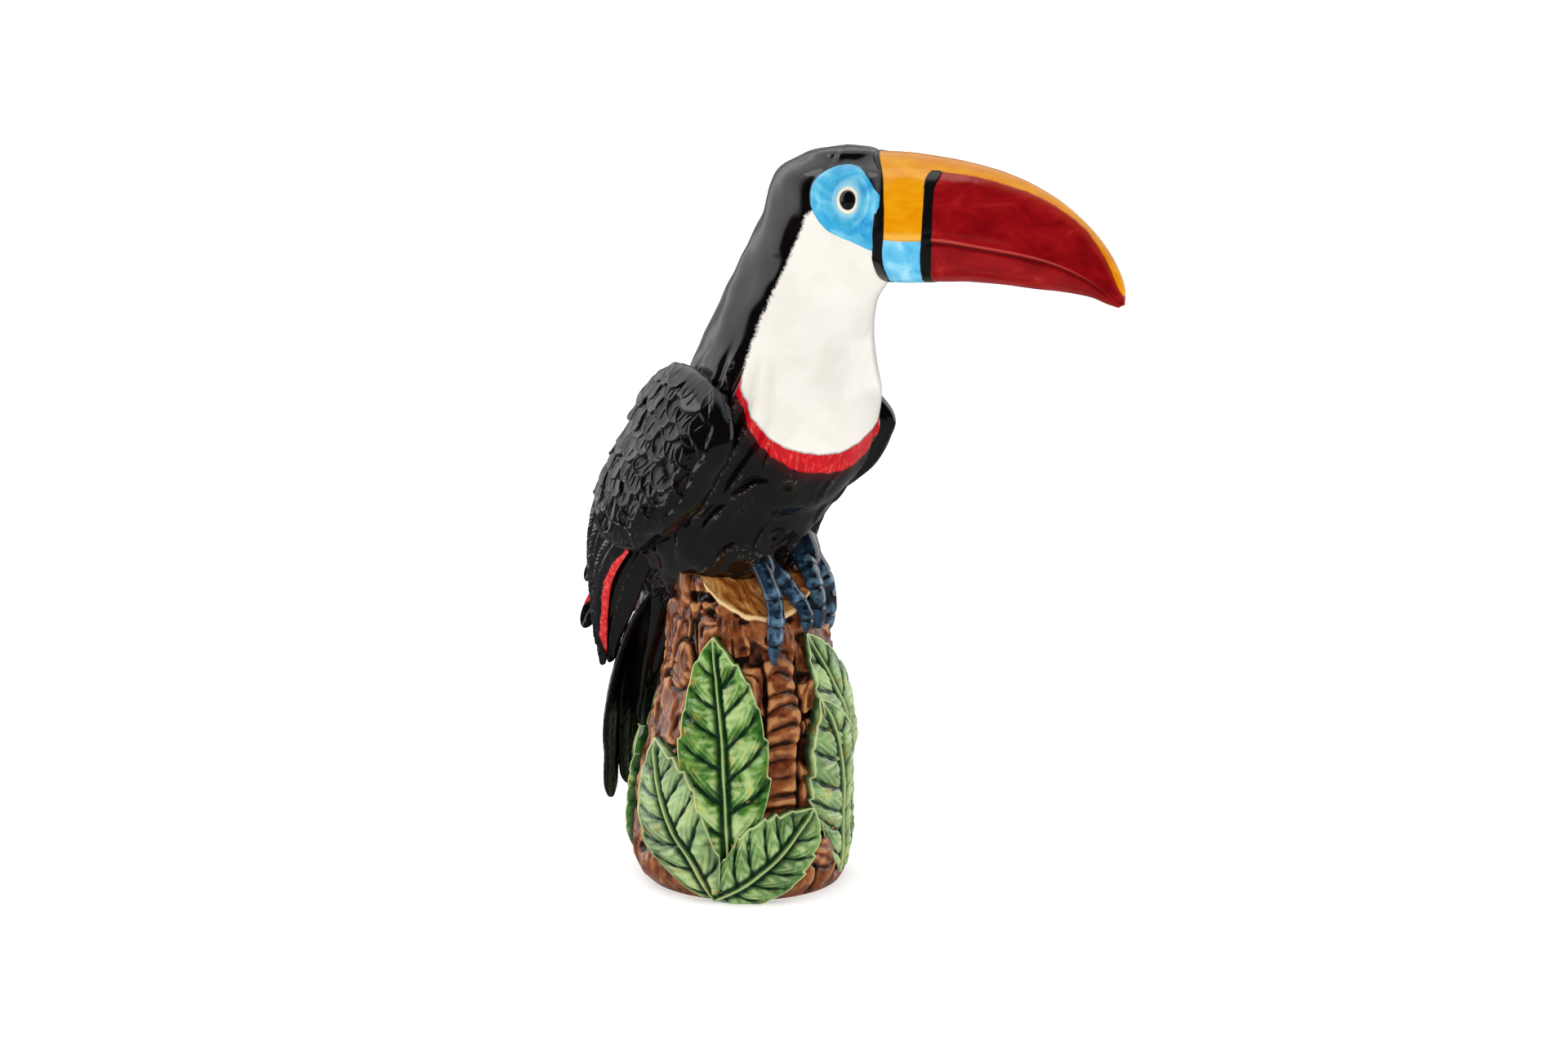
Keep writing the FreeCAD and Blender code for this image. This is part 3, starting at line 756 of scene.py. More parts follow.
def bill():
    """The bill, and the black band and bit of skin at its root."""
    p, angle, _ = sections(BILL, 320, 290)
    x, z = p[..., 0], p[..., 2]
    up = np.broadcast_to(-np.cos(angle), x.shape)
    mouth = z - table_at(MOUTH, x)
    # the fold of the mouth: a raised lip with a groove under it, and the lower bill set in a little
    fade = smoothstep(x, 126, 136) * (1 - 0.6 * smoothstep(x, 226, 236))
    fade = fade * smoothstep(np.abs(np.sin(angle)), 0.1, 0.5)
    d = fade * (0.8 * bump(mouth, 0.8, 1.2) - 1.1 * bump(mouth, -1.5, 1.1) - 0.4 * smoothstep(-mouth, 0, 4))
    d += 0.35 * noise(p, (40, 20, 18), 21) + 0.10 * noise(p, 9, 22)
    # the painted band at the root stands a little proud; behind it the bill sinks into the cheeks
    band = x - table_at(BAND_EDGE, up)
    root = x - np.interp(z, *np.asarray(ROOT_EDGE, float).T)
    d += 0.45 * (1 - smoothstep(band, -1.0, 0.5)) * smoothstep(root, -1.0, 0.5)
    d -= 2.6 * (1 - smoothstep(root, -3.2, -0.6))
    back = x - table_at(BAR_BACK, np.clip(up, -1, 0.8))
    front = x - table_at(BAR_FRONT, np.clip(up, -1, 0.78))
    top = inside(x, z, BAR_TOP)
    bar = np.maximum(np.minimum(back, -front), np.where(z > 394, top, -9))
    bar = np.where(z > 399, np.minimum(top, 6), bar)
    d += 0.15 * smoothstep(bar, -0.6, 0.6)
    d = round_blur(d, 0.6, 0.6)
    patch = eye_patch(p)
    fields = {
        "cavity": d - round_blur(d, 3, 3),
        "mouth": mouth,
        "stripe": z - table_at(STRIPE, x),
        "band": band,
        "bar": bar,
        "past": front,
        "root": root,
        "patch": patch,
        "bib": np.where((z > 360) & (patch < 0), -9, 9),
        "red": 0 * x - 40,
        "rear": 0 * x,
        "eye": from_eye(x, z),
    }
    q = p + grid_normals(p) * d[..., None]
    make_piece("beak_shell", [(q, fields)], bill_glaze(), "bill")


# ---- wings --------------------------------------------------------------------------------------
# A wing leans by about 29 degrees, so down and forward along it are these shares of X and Z.
LEAN_SIN, LEAN_COS = 0.489, 0.872
WING_Z = 250
# Sections across a wing: how far down it, the middle's way forward, half width, Y, thickness and wrap.
RIGHT_WING = [
    (-40, 0.5, 7, 50, 4, 18), (-34.5, -4.2, 22.8, 50, 10, 20), (-23.5, -5.7, 33.8, 50, 15, 22),
    (-5, -9, 37, 47, 18, 23), (20, -11, 35.5, 45, 18.5, 23), (42, -16, 31, 43, 18, 22),
    (60, -21.3, 25.8, 40, 15, 20), (76, -27.8, 19.8, 35, 11, 18), (86, -32.2, 8.2, 32, 5, 18),
]
LEFT_WING = [
    (-44, 10, 8, 50, 4, 18), (-37.5, 10, 26, 51, 10, 20), (-22, 7, 39, 51, 15, 22), (-5, -1, 46, 49, 18, 23),
    (20, -9, 45, 46, 18.5, 23), (42, -19, 38, 44, 18, 22), (60, -28, 31, 40, 15, 20),
    (76, -35, 23, 35, 11, 18), (86, -38, 9, 32, 5, 18),
]


def wing_rows(table, side):
    """A wing's table as sections in the CAD's form."""
    out = []
    for down, forward, half, y, thick, wrap in table:
        x = LEAN_COS * forward - LEAN_SIN * down
        z = WING_Z - LEAN_SIN * forward - LEAN_COS * down
        out.append((x, side * y, z, 29, side * wrap, half / math.cos(math.radians(wrap)), thick))
    return out


def down_and_forward(x, z):
    """How far down and forward along a wing a point of the side view lies."""
    return -(LEAN_SIN * x + LEAN_COS * (z - WING_Z)), LEAN_COS * x - LEAN_SIN * (z - WING_Z)


def covert(a, b, half, length, phase, rng):
    """Height of one round-tipped covert feather over a down it and b across it, -9 outside it."""
    b = b + 0.9 * np.sin(a * 0.25 + phase)
    bow = 0.9 * math.sin(phase * 1.7)
    tip = 8.0 * rng.uniform(0.8, 1.2)
    pointed = rng.uniform(0.85, 1.3)
    past_tip = a - (tip - half * pointed)
    edge = half - np.where(past_tip > 0, np.hypot(b, past_tip / pointed), np.abs(b))
    rise = rng.uniform(2.2, 3.4)
    lift = rise * smoothstep(a, -length * 0.8, tip) ** 1.3 + 0.75 * smoothstep(edge, -0.1, 0.8)
    lift += 0.50 * bump(edge, 0.75, 0.6) - 0.55 * smoothstep(edge, 1.0, 5.0)
    middle = b - bow * 0.1 * a
    vein = bump(middle, bow, 0.5) * smoothstep(a, -3.0, -1.0) * (1 - smoothstep(a, tip - 5, tip - 2.5))
    lift += 0.5 * vein - 0.4 * bump(middle, bow + 1.1, 0.6) * (vein > 0.02)
    return np.where((edge > -0.1) & (a > -length) & (a < 14), lift, -9)


def coverts(down, forward, seed):
    """Height of rows of overlapping covert feathers over (down, forward) in mm."""
    rng = np.random.default_rng(seed)
    height = np.full(down.shape, -9.0)
    for row in range(12):
        row_down = -38.0 + 11.6 * row
        grow = np.clip((row_down + 40) / 130, 0, 1)
        at = -56.0 + (6 if row % 2 else 0) + rng.uniform(-3, 3)
        while at < 46:
            # narrower feathers toward the trailing edge
            rear = np.clip((14 - at) / 55, 0, 1)
            half = (9.4 - 1.2 * grow) * (1 - 0.38 * rear) * rng.uniform(0.8, 1.22)
            length = rng.uniform(22, 30)
            mid_down, mid_forward = row_down + rng.uniform(-4.5, 4.5), at + rng.uniform(-2.2, 2.2)
            turn = rng.normal(0, 0.20) + 0.32 * rear - 0.12
            near = (np.abs(down - mid_down) < 34) & (np.abs(forward - mid_forward) < 24)
            u, v = (down - mid_down)[near], (forward - mid_forward)[near]
            a = u * math.cos(turn) + v * math.sin(turn)
            b = v * math.cos(turn) - u * math.sin(turn)
            height[near] = np.maximum(height[near], covert(a, b, half, length, mid_down, rng))
            at += half * 1.45
    return np.maximum(height, 0.0)


def wing(name, table, side, node, seed):
    """A wing with a smooth rolled leading edge, and coverts over the rest of its outer face."""
    outward = 1.5 * np.pi if side < 0 else 0.5 * np.pi

    def spread(share):
        # columns crowd on the outer face
        turn = 2 * np.pi * (share - 0.5)
        return outward + turn - 0.62 * np.sin(turn)

    p, _, fine = sections(wing_rows(table, side), 310, 310, spread)
    normal = -grid_normals(p)
    down, forward = down_and_forward(p[..., 0], p[..., 2])
    outer = smoothstep(normal[..., 1] * side, -0.35, 0.1)
    middle = down_and_forward(fine[:, 0], fine[:, 2])[1]
    half = np.abs(fine[:, 5] * np.cos(np.radians(fine[:, 4])))
    front = (middle + half)[:, None] - forward
    # a smooth leading edge that narrows down the wing; its border wanders where feathers lap over it
    wide = 9.0 - 4.0 * smoothstep(down, -10, 62)
    border = wide + 2.2 * noise(p, 13, seed) + 1.0 * noise(p, 7, seed + 9)
    smooth = 1 - smoothstep(front, border - 2.6, border + 1.2)
    top = smoothstep(down + 0.15 * front, -20, -33)
    smooth = np.maximum(smooth, top * 0.8)
    rolled = 2.9 + 1.0 * np.sqrt(np.clip(1 - ((front - 3.5) / 7.0) ** 2, 0, 1)) + 0.5 * noise(p, 12, seed + 1)
    body = coverts(down, forward, seed) * (1 - smooth) + smooth * rolled
    body -= 0.9 * bump(front, border + 0.5, 1.6) * (1 - top) * smoothstep(noise(p, 16, seed + 6), -0.5, 0.2)
    body += (1 - smooth) * (0.9 * noise(p, (17, 17, 17), seed + 2) + 0.25 * noise(p, 5, seed + 3))
    d = round_blur(outer * (body - 2.0), 0.6, 0.6)
    fields = {"cavity": d - round_blur(d, 4, 4)}
    make_piece(name, [(p + normal * d[..., None], fields)], BLACK, node, True)


# ---- feathers -----------------------------------------------------------------------------------
# Each feather: shaft points from root to tip; half width along it; thickness; the way its face looks; how
# strong its barbs are; and its red edge: 0 for none, 1 or -1 for one edge and 2 for both.
RIGHT_TILT, LEFT_TILT = (-0.25, -0.95, -0.18), (-0.35, 0.90, -0.2)
# the outer layer from its red front edge to the rear, then the smooth inner vane
RIGHT_FEATHERS = [
    ([(-42, -41, 207), (-54.5, -41.5, 191), (-66.5, -37.6, 178), (-75, -33, 165), (-80, -28.5, 150),
      (-82, -26, 134), (-81.5, -24.5, 113)],
     [(0, 7.5), (0.25, 8.4), (0.5, 8), (0.75, 6.2), (0.9, 4.4), (1, 3)], 3.0, RIGHT_TILT, 0.7, -1),
    ([(-52, -38, 214), (-66, -37.5, 200), (-76, -34, 184), (-82.5, -29.5, 168), (-85, -26, 150),
      (-85.5, -24, 124)],
     [(0, 7), (0.3, 8), (0.6, 7), (0.85, 5), (1, 3)], 2.6, RIGHT_TILT, 0.7, 0),
    ([(-60, -35, 218), (-74, -33.5, 203), (-82, -30, 187), (-86, -26.5, 170), (-87.5, -24, 154),
      (-87.5, -22, 138)],
     [(0, 6), (0.3, 7), (0.7, 6), (1, 3)], 2.4, RIGHT_TILT, 0.7, 0),
    ([(-68, -31, 220), (-80, -28, 205), (-86, -25, 190), (-88.5, -22.5, 174), (-89, -21, 158)],
     [(0, 5), (0.3, 6), (0.7, 5), (1, 3)], 2.2, RIGHT_TILT, 0.7, 0),
    ([(-40, -32.5, 192), (-52, -31.5, 176), (-62.5, -28, 160), (-71, -24.5, 144), (-77, -22, 130),
      (-79.5, -20.5, 114)],
     [(0, 8), (0.3, 9.6), (0.6, 8.6), (0.85, 5.5), (1, 3)], 3.4, (0.25, -0.96, 0), 0.08, 0),
]
LEFT_FEATHERS = [
    ([(-46, 38, 203), (-66, 37, 189), (-87, 27, 170), (-103, 15, 152), (-113, 8, 138), (-118.5, 4, 124)],
     [(0, 8), (0.3, 10), (0.6, 9), (0.85, 6.5), (1, 4)], 3.0, LEFT_TILT, 0.7, 2),
    ([(-54, 37, 214), (-76, 33, 200), (-95, 21, 184), (-108, 11, 168), (-116.5, 4, 152)],
     [(0, 7), (0.3, 9), (0.7, 7.5), (1, 3.5)], 2.8, LEFT_TILT, 0.7, 0),
    ([(-60, 33, 222), (-80, 28, 210), (-97, 16, 194), (-109, 5, 177)],
     [(0, 6), (0.3, 8), (0.7, 7), (1, 3.5)], 2.6, LEFT_TILT, 0.7, 0),
    ([(-44, 31, 190), (-60, 31, 175), (-78, 24, 158), (-93, 16, 142), (-103, 11, 130)],
     [(0, 8), (0.3, 10), (0.7, 8), (1, 4)], 3.0, LEFT_TILT, 0.08, 0),
]
CENTRE_TAIL = (
    [(-50, 0, 170), (-64, 0, 147), (-75, 0, 120), (-80.5, 0, 94), (-83, 0, 66), (-83.5, 0, 50), (-83, 0, 38)],
    [(0, 9), (0.2, 10), (0.8, 9.5), (1, 7)], 4.6, (-1, 0, 0), 0.45, 0,
)
RIGHT_TAIL = (
    [(-48, -10, 166), (-63.5, -13, 143), (-74, -14.5, 119), (-81, -14.5, 94), (-85, -13.5, 62),
     (-86.3, -13, 45), (-86.5, -12.5, 32)],
    [(0, 9), (0.2, 11), (0.55, 11.6), (0.75, 11.2), (0.79, 9.2), (0.92, 8.4), (1, 6.5)],
    4.6, (-1, -0.28, 0), 0.45, 0,
)
LEFT_TAIL = (
    [(-46, 8.5, 166), (-59, 10, 143), (-68, 11, 119), (-75, 11, 94), (-80, 10.5, 62), (-82, 10.5, 48),
     (-82.5, 10.5, 36)],
    [(0, 8), (0.2, 10), (0.6, 10.4), (0.85, 9), (1, 6)], 4.6, (-1, 0.28, 0), 0.45, 0,
)
# Soft feathers under the tail: they fill the space between the long feathers and the trunk.
UNDERTAIL = [
    (-30, 0, 186, 40, 0, 20, 24), (-42, 0, 168, 34, 0, 21, 22), (-54, 0, 148, 22, 0, 17, 18),
    (-62, 0, 126, 14, 0, 13, 15), (-67.5, 0, 104, 8, 0, 9, 12), (-71, 0, 86, 4, 0, 5, 8),
    (-72, 0, 76, 2, 0, 1.5, 3),
]


def red_front(t, along, u, edge, red, seed):
    """How far a point lies into the red edge of a feather, in mm."""
    if not red:
        return 0 * u - 9
    band = 4.8 * smoothstep(t, 0.05, 0.36)[:, None] * smoothstep(t, 0.93, 0.82)[:, None] - 0.8
    return np.where((u * red > 0) | (abs(red) > 1), band + 0.7 * line_noise(along, 9, seed) - edge, -9.0)


def vane(path, width, thickness, facing, barbs, red, seed, curl, rows=150, columns=56):
    """One flat curved feather as a closed tube and its fields. Each face has a shaft and slanting barbs."""
    line, across, out = sweep(path, rows, facing)
    t = np.linspace(0, 1, rows)
    tip = np.sqrt(np.clip(1 - ((np.clip(t - 0.93, 0, 1) / 0.07) ** 2), 0, 1))
    half = np.maximum(table_at(width, t) * tip, 0.2)[:, None]
    share = np.linspace(0, 2 * np.pi, columns, endpoint=False)
    wide, face = np.cos(share)[None, :], np.sign(np.sin(share))[None, :]
    u = np.sign(wide) * np.abs(wide) ** 0.85 * half
    off = np.abs(u)
    edge = half - off
    thick = thickness * (0.35 + 0.65 * tip)[:, None]
    body = 0.5 * thick * np.sqrt(np.clip(1 - (off / (half + 1e-6)) ** 4, 0, 1))
    along = t[:, None] * distances(path)[-1] + 0 * u
    # a ridge for the shaft, and barbs that slant away from it and part here and there
    shaft = 0.75 * bump(u, 0, 0.85) - 0.35 * bump(off, 1.9, 0.8)
    slant = along - 1.3 * off
    lane = np.stack([u * 0.4, slant, 0 * u], -1)
    waves = 0.30 * np.sin(slant * 2.1 + 1.5 * noise(lane, 7, seed))
    waves += 0.45 * noise(lane, (9, 3.2, 9), seed + 3)
    split = bump(noise(lane, (14, 7.5, 9), seed + 2), 0, 0.05) * smoothstep(off, half * 0.3, half * 0.8)
    relief = shaft + barbs * (waves - split) * smoothstep(off, 1.4, 2.6)
    relief = relief * smoothstep(edge, 0.0, 0.9) * smoothstep(tip[:, None], 0.1, 0.6)
    v = face * (body + relief) - curl * (u / (half + 1e-6)) ** 2
    fields = {"cavity": relief, "front": red_front(t, along, u, edge, red, seed)}
    return swept(line, across, out, u, v), fields


def flight_feathers(name, node, plan, seed, curl):
    vanes = [vane(*feather, seed + k, curl) for k, feather in enumerate(plan)]
    make_piece(name, vanes, FEATHER, node)


def tail_feather(name, node, feather, seed):
    make_piece(name, [vane(*feather, seed, 0.8, 260, 90)], FEATHER, node)


def undertail():
    p = sections(UNDERTAIL, 150, 130)[0]
    lock = np.sin(0.75 * p[..., 1] + 0.35 * p[..., 0] + 2.4 * noise(p, (12, 12, 36), 91))
    d = 0.9 * lock + 1.0 * noise(p, (9, 9, 26), 92)
    fields = {"cavity": d * 0.3, "front": 0 * d - 9}
    q = p - grid_normals(p) * d[..., None]
    make_piece("undertail_coverts", [(q, fields)], FEATHER, None, True)


# ---- feet and eyes ------------------------------------------------------------------------------
# Each shank: its path and (share, radius) table. Each toe: also the shares where its knuckles lie and
# where its claw starts.
SHANKS = [
    ("right_shank", "right_foot", [(12, -16, 204), (20, -17, 192), (27, -18.5, 183), (31, -19.5, 174)],
     [(0, 9), (0.4, 8.6), (0.75, 7.0), (1, 5)]),
    ("left_shank", "left_foot", [(16, 12, 207), (25, 12.5, 197), (32, 13, 187), (35, 14, 176)],
     [(0, 11), (0.4, 10.6), (0.75, 8.6), (1, 6)]),
]
TOES = [
    ("right_inner_claw_toe", "right_inner_toe",
     [(26, -16, 184), (36, -13.5, 176), (43.5, -11.5, 167), (48.5, -10.5, 160), (50.5, -10.5, 153.5),
      (50, -10.5, 149)],
     [(0, 4.6), (0.3, 4.7), (0.6, 4.3), (0.82, 3.9), (0.93, 3.3), (0.98, 2.4), (1, 1.5)], (0.36, 0.64), 0.86),
    ("right_outer_claw_toe", "right_outer_toe",
     [(27, -21, 184), (34, -23, 174.5), (39.5, -25, 163.5), (41.5, -27, 153), (42, -28.5, 144),
      (41.5, -29, 132)],
     [(0, 5.0), (0.3, 4.8), (0.6, 4.6), (0.78, 4.2), (0.88, 3.6), (0.96, 2.3), (1, 1.1)], (0.38, 0.64), 0.80),
    ("left_inner_claw_toe", "left_inner_toe",
     [(30, 11, 187), (38, 7, 181), (44.5, 3.5, 173), (47.8, 2.6, 165), (48.4, 3, 157), (48, 3.5, 147.5)],
     [(0, 5.4), (0.3, 5.0), (0.6, 4.5), (0.80, 4.1), (0.93, 3.4), (0.98, 2.5), (1, 1.5)], (0.30, 0.54), 0.74),
    ("left_outer_claw_toe", "left_outer_toe",
     [(30.5, 16, 188), (36, 19.7, 177), (39, 23.6, 164), (38.6, 24.6, 153), (37, 24, 144), (35, 23.5, 134.5)],
     [(0, 6.2), (0.3, 5.8), (0.6, 5.2), (0.80, 5.0), (0.93, 4.2), (0.98, 3.1), (1, 1.8)], (0.32, 0.70), 0.86),
]


def toe(name, node, path, radii, knuckles, claw, seed):
    """A round toe draped over the rim, swollen and grooved at each knuckle, with a claw past a share."""
    rows, columns = 150, 56
    line, across, out = sweep(path, rows, (0.7, -0.35, 0.6))
    t = np.linspace(0, 1, rows)
    radius = blur(np.interp(t, *np.asarray(radii, float).T)[:, None], (3, 0))
    joint = np.zeros(rows)
    for k in knuckles:
        joint += 0.60 * bump(t, k - 0.055, 0.055) + 0.40 * bump(t, k + 0.055, 0.055)
        joint -= 0.75 * bump(t, k, 0.010)
    if knuckles:
        joint += 0.40 * bump(t, claw - 0.05, 0.04) - 0.7 * bump(t, claw + 0.01, 0.012)
    joint = joint[:, None]
    a = np.linspace(0, 2 * np.pi, columns, endpoint=False)
    top = np.clip(np.sin(a), 0, 1)[None, :]
    size = np.maximum(radius + joint * (0.65 + 0.35 * top), 0.1) * (1 + 0.05 * np.cos(4 * a))[None, :]
    p = swept(line, across, out, size * np.cos(a), size * np.sin(a))
    wander = 0.35 * noise(p, 5, seed) * smoothstep(radius, 0.5, 2.0)
    p = p + out[:, None, :] * wander[..., None]
    # the knuckle ridges, weighted toward the toe's top, become the cavity that foot_glaze paints pale as thin
    # glaze and a painted highlight
    ridge = joint * (0.4 + 0.6 * top) + 0.12 * noise(p, 3, seed + 9)
    flank = smoothstep(np.abs(np.cos(a)), 0.30, 0.75)[None, :] * np.clip(radius / 4, 0, 1)
    fields = {
        "cavity": ridge * smoothstep(radius, 0.6, 2.0),
        "flank": flank,
        "claw": smoothstep(t, claw, claw + 0.04)[:, None] * (0.2 + 0.8 * flank),
    }
    make_piece(name, [(p, fields)], FOOT, node)


def feet():
    no_claw = 2.0
    for seed, shank in enumerate(SHANKS, 1):
        toe(*shank, (), no_claw, seed)
    for seed, row in enumerate(TOES, 3):
        toe(*row, seed)


def eye(name, node, side):
    """A low domed pupil, slightly tall, let into the eye patch."""
    t = np.linspace(0, 1, 40)[:, None]
    a = np.linspace(0, 2 * np.pi, 64, endpoint=False)[None, :]
    turn = math.radians(6)
    out = np.array((math.sin(turn), side * math.cos(turn), 0.0))
    across = np.array((math.cos(turn), -side * math.sin(turn), 0.0))
    up = np.array((0, 0, 1.0))
    radius = 5.0 * np.sin(t * math.pi / 2)
    lift = 2.5 * np.cos(t * math.pi / 2) - 2.5 * smoothstep(t, 0.85, 1.0) + 0 * a
    ring = np.cos(a)[..., None] * across * 0.95 + np.sin(a)[..., None] * up * 1.06
    p = np.array((EYE[0], side * EYE_Y, EYE[1])) + radius[..., None] * ring + lift[..., None] * out
    make_piece(name, [(p, {"cavity": 0 * lift})], BLACK, node, side < 0)


# ---- stump --------------------------------------------------------------------------------------
STUMP = [
    (0, 0, 0, 0, 0, 54, 53), (-1, -1, 8, 0, 0, 58.5, 57), (-2, -1.5, 30, 0, 0, 60, 58.5),
    (-1, -1, 60, 0, 0, 58.5, 57), (2, 0, 90, 0, 0, 55, 53), (4, 0, 120, 0, 0, 49.5, 47),
    (4, -2, 150, 0, 0, 43.5, 41.5), (4, -2, 177, 0, 0, 42, 38),
]
HOLLOW = [
    (0, 0, -2, 0, 0, 46, 45), (1, 0, 30, 0, 0, 50, 48.5), (1, 0, 60, 0, 0, 46.5, 45),
    (2, 0, 90, 0, 0, 44, 42), (1, 0, 120, 0, 0, 34, 32), (-2, 0, 140, 0, 0, 22, 21),
]
STUMP_TOP = 177.0
# the axe-cut face, a plane
CUT_NORMAL = unit(np.array((0.548, -0.493, 0.737)))
CUT_POINT = np.array((34.0, -27.0, 159.5))
# Ribbed columns of bark: azimuth and half width in degrees, and the heights of their ends.
COLUMNS = [(-33, 11.5, 16, 136), (98, 9, 20, 150)]
# Round plates of bark: azimuth and height of the middle, and reach in degrees and in mm.
PLATES = [
    (-26, 13, 16, 15), (-4, 24, 9, 9), (-108, 128, 11, 14), (72, 96, 11, 18), (120, 40, 12, 14),
    (158, 16, 13, 10),
]
# Values of the region field: clay inside and under the stump, its foot ring, the bark, and the cut face.
INSIDE, FOOT_RING, FOOT_EDGE, BARK, FACE = -1, -0.6, -0.2, 0, 1.0


def wall_point(azimuth, z, lift=0.0):
    """A point on the stump's side: azimuth in degrees, height in mm, lift in mm out from the clay."""
    level = np.clip(z, 0, STUMP_TOP)
    cx, cy, a, b = (np.interp(level, WALL[:, 2], WALL[:, column]) for column in (0, 1, 5, 6))
    t = np.radians(azimuth)
    return np.stack([cx + (a + lift) * np.cos(t), cy + (b + lift) * np.sin(t), z + 0 * t], -1)


def round_from(azimuth, middle):
    """Degrees round the stump from a middle, from -180 to 180."""
    return (azimuth - middle + 180) % 360 - 180


def bark_strokes(az, p):
    """Rough strokes in soft clay, upright and slanting, with scooped hollows and wandering cracks."""
    coarse = (15, 15, 22)
    w = p + np.stack([5 * noise(p, coarse, 40), 5 * noise(p, coarse, 41), 9 * noise(p, 19, 39)], -1)
    h = 2.2 * noise(p, (22, 22, 30), 42)
    slant = np.stack([w[..., 0], w[..., 1], w[..., 2] + 0.7 * 55 * np.radians(az)], -1)
    upright = noise(w, (6.5, 6.5, 30), 43)
    across = noise(slant, (26, 26, 6.5), 44)
    pick = smoothstep(noise(p, (24, 24, 30), 38), -0.15, 0.15)
    h += 1.6 * (upright * pick + across * (1 - pick)) + 0.9 * noise(w, (4, 4, 11), 35)
    h -= 2.6 * smoothstep(noise(w, (13, 13, 9), 36), 0.24, 0.42)
    crack = noise(w, (19, 19, 50), 45) + 0.25 * noise(p, 9, 46)
    h -= 3.2 * bump(crack, 0, 0.05) * smoothstep(noise(p, (20, 20, 30), 34), -0.5, 0.0)
    short = np.abs(noise(w, (15, 15, 15), 47)) + 0.5 * smoothstep(noise(p, 22, 48), 0.15, -0.2)
    h -= 2.2 * bump(short, 0, 0.055)
    return h + 0.40 * noise(w, (2.4, 2.4, 6), 49) + 0.25 * noise(p, 2.6, 50)


def bark(azimuth, p, rim):
    """Bark height in mm: strokes, pits under the cut, ribbed columns, a broken ledge and seamed plates."""
    z = p[..., 2]
    az = round_from(azimuth, 0)
    h = bark_strokes(az, p)
    near_cut = smoothstep(rim - z, 36, 6) * smoothstep(np.abs(az + 50), 66, 40)
    lump = noise(p, (9, 9, 5), 51)
    h += near_cut * (0.6 * lump - 1.8 * smoothstep(lump, -0.26, -0.46) + 0.6)
    for mid, width, low, high in COLUMNS:
        away = np.abs(round_from(az, mid) + 3.0 * noise(p, (20, 20, 20), 52))
        tall = smoothstep(z, low - 4, low + 4) * smoothstep(z, high + 5, high - 5)
        where = smoothstep(away, width + 1.5, width - 1.5) * tall
        turn = z + 4.0 * noise(p, (16, 16, 12), 53) + 0.03 * (az - mid) ** 2
        rib = 2.5 * np.sin(np.pi * ((turn / 9.0) % 1.0)) ** 0.7 - 1.8 + 0.9 * noise(p, (7, 7, 3), 54)
        rib = rib * (0.55 + 0.45 * smoothstep(noise(p, (14, 14, 10), 33), -0.3, 0.2))
        h = h * (1 - where) + where * rib - 2.2 * bump(away, width + 0.6, 1.3) * tall
    ledge = 118 + 0.55 * (az + 20) + 3 * noise(p, 12, 32)
    shelf = smoothstep(z, ledge - 26, ledge) * smoothstep(z, ledge + 4, ledge)
    h += 2.6 * smoothstep(np.abs(az + 12), 13, 8) * shelf
    for mid, height, wide, tall in PLATES:
        away = round_from(az, mid) * 0.95
        ring = np.hypot(away / wide, (z - height) / tall) + 0.3 * noise(p, 10, 55)
        ripple = 0.8 * np.sin(1.1 * (z + 0.5 * away)) * smoothstep(noise(p, 9, 31), -0.3, 0.3)
        h = np.where(ring < 1, h * 0.3 + 1.4 * (1 - ring**4) + ripple, h) - 2.2 * bump(ring, 1.04, 0.08)
    # a soft ceiling, so the bark never comes through a leaf
    return np.where(h > 0.8, 0.8 + 1.5 * np.tanh((h - 0.8) / 1.5), h)


def rim_height(azimuth):
    """How high the wall reaches at each azimuth: to the slanting cut, or to the level top under the bird."""
    z = np.linspace(90, STUMP_TOP, 300)
    past = (wall_point(azimuth[None, :], z[:, None]) - CUT_POINT) @ CUT_NORMAL
    rim = np.where(past.max(0) > 0, z[np.argmax(past > 0, 0)], STUMP_TOP)
    rim = round_blur(rim[None, :], 0, 2)[0]
    return rim + 0.8 * line_noise(azimuth, 8, 60) * (rim < STUMP_TOP - 1)


def underside(azimuth):
    """Level rings of points from the vent down the hollow to the foot ring, and their regions."""
    turn = np.radians(azimuth)
    inner = spline(HOLLOW, 18)
    inner = inner[inner[:, 2] > 0.6][::-1]
    rings = [(-4, 0, z, 7, 7, INSIDE) for z in (176.0, 142.0)]
    rings += [(x, y, z, a, b, INSIDE) for x, y, z, _, _, a, b in inner]
    rings += [(0, 0, 0.15, 46.8, 46.0, FOOT_RING), (0, 0, 0.0, 52.6, 51.8, FOOT_RING),
              (0, 0, 0.6, 54.2, 53.4, FOOT_EDGE)]
    x, y, z, a, b, region = (column[:, None] + 0 * turn for column in np.array(rings).T)
    return np.stack([x + a * np.cos(turn), y + b * np.sin(turn), z], -1), region


def outer_wall(azimuth, rim, is_cut):
    """The bark from the foot to the rim: points, relief, and how much each is part of the cut's lip."""
    t = (np.linspace(0.010, 1, 150) ** 0.95)[:, None]
    height = t * rim
    p = wall_point(azimuth + 0 * t, height)
    h = bark(azimuth + 0 * t, p, rim + 0 * t) * (0.2 + 0.8 * smoothstep(height, 0, 10))
    lip = is_cut * bump(rim - height, 0.0, 1.6)
    h = h * (1 - 0.95 * lip) + 0.7 * lip
    return p + grid_normals(p) * h[..., None], h, lip


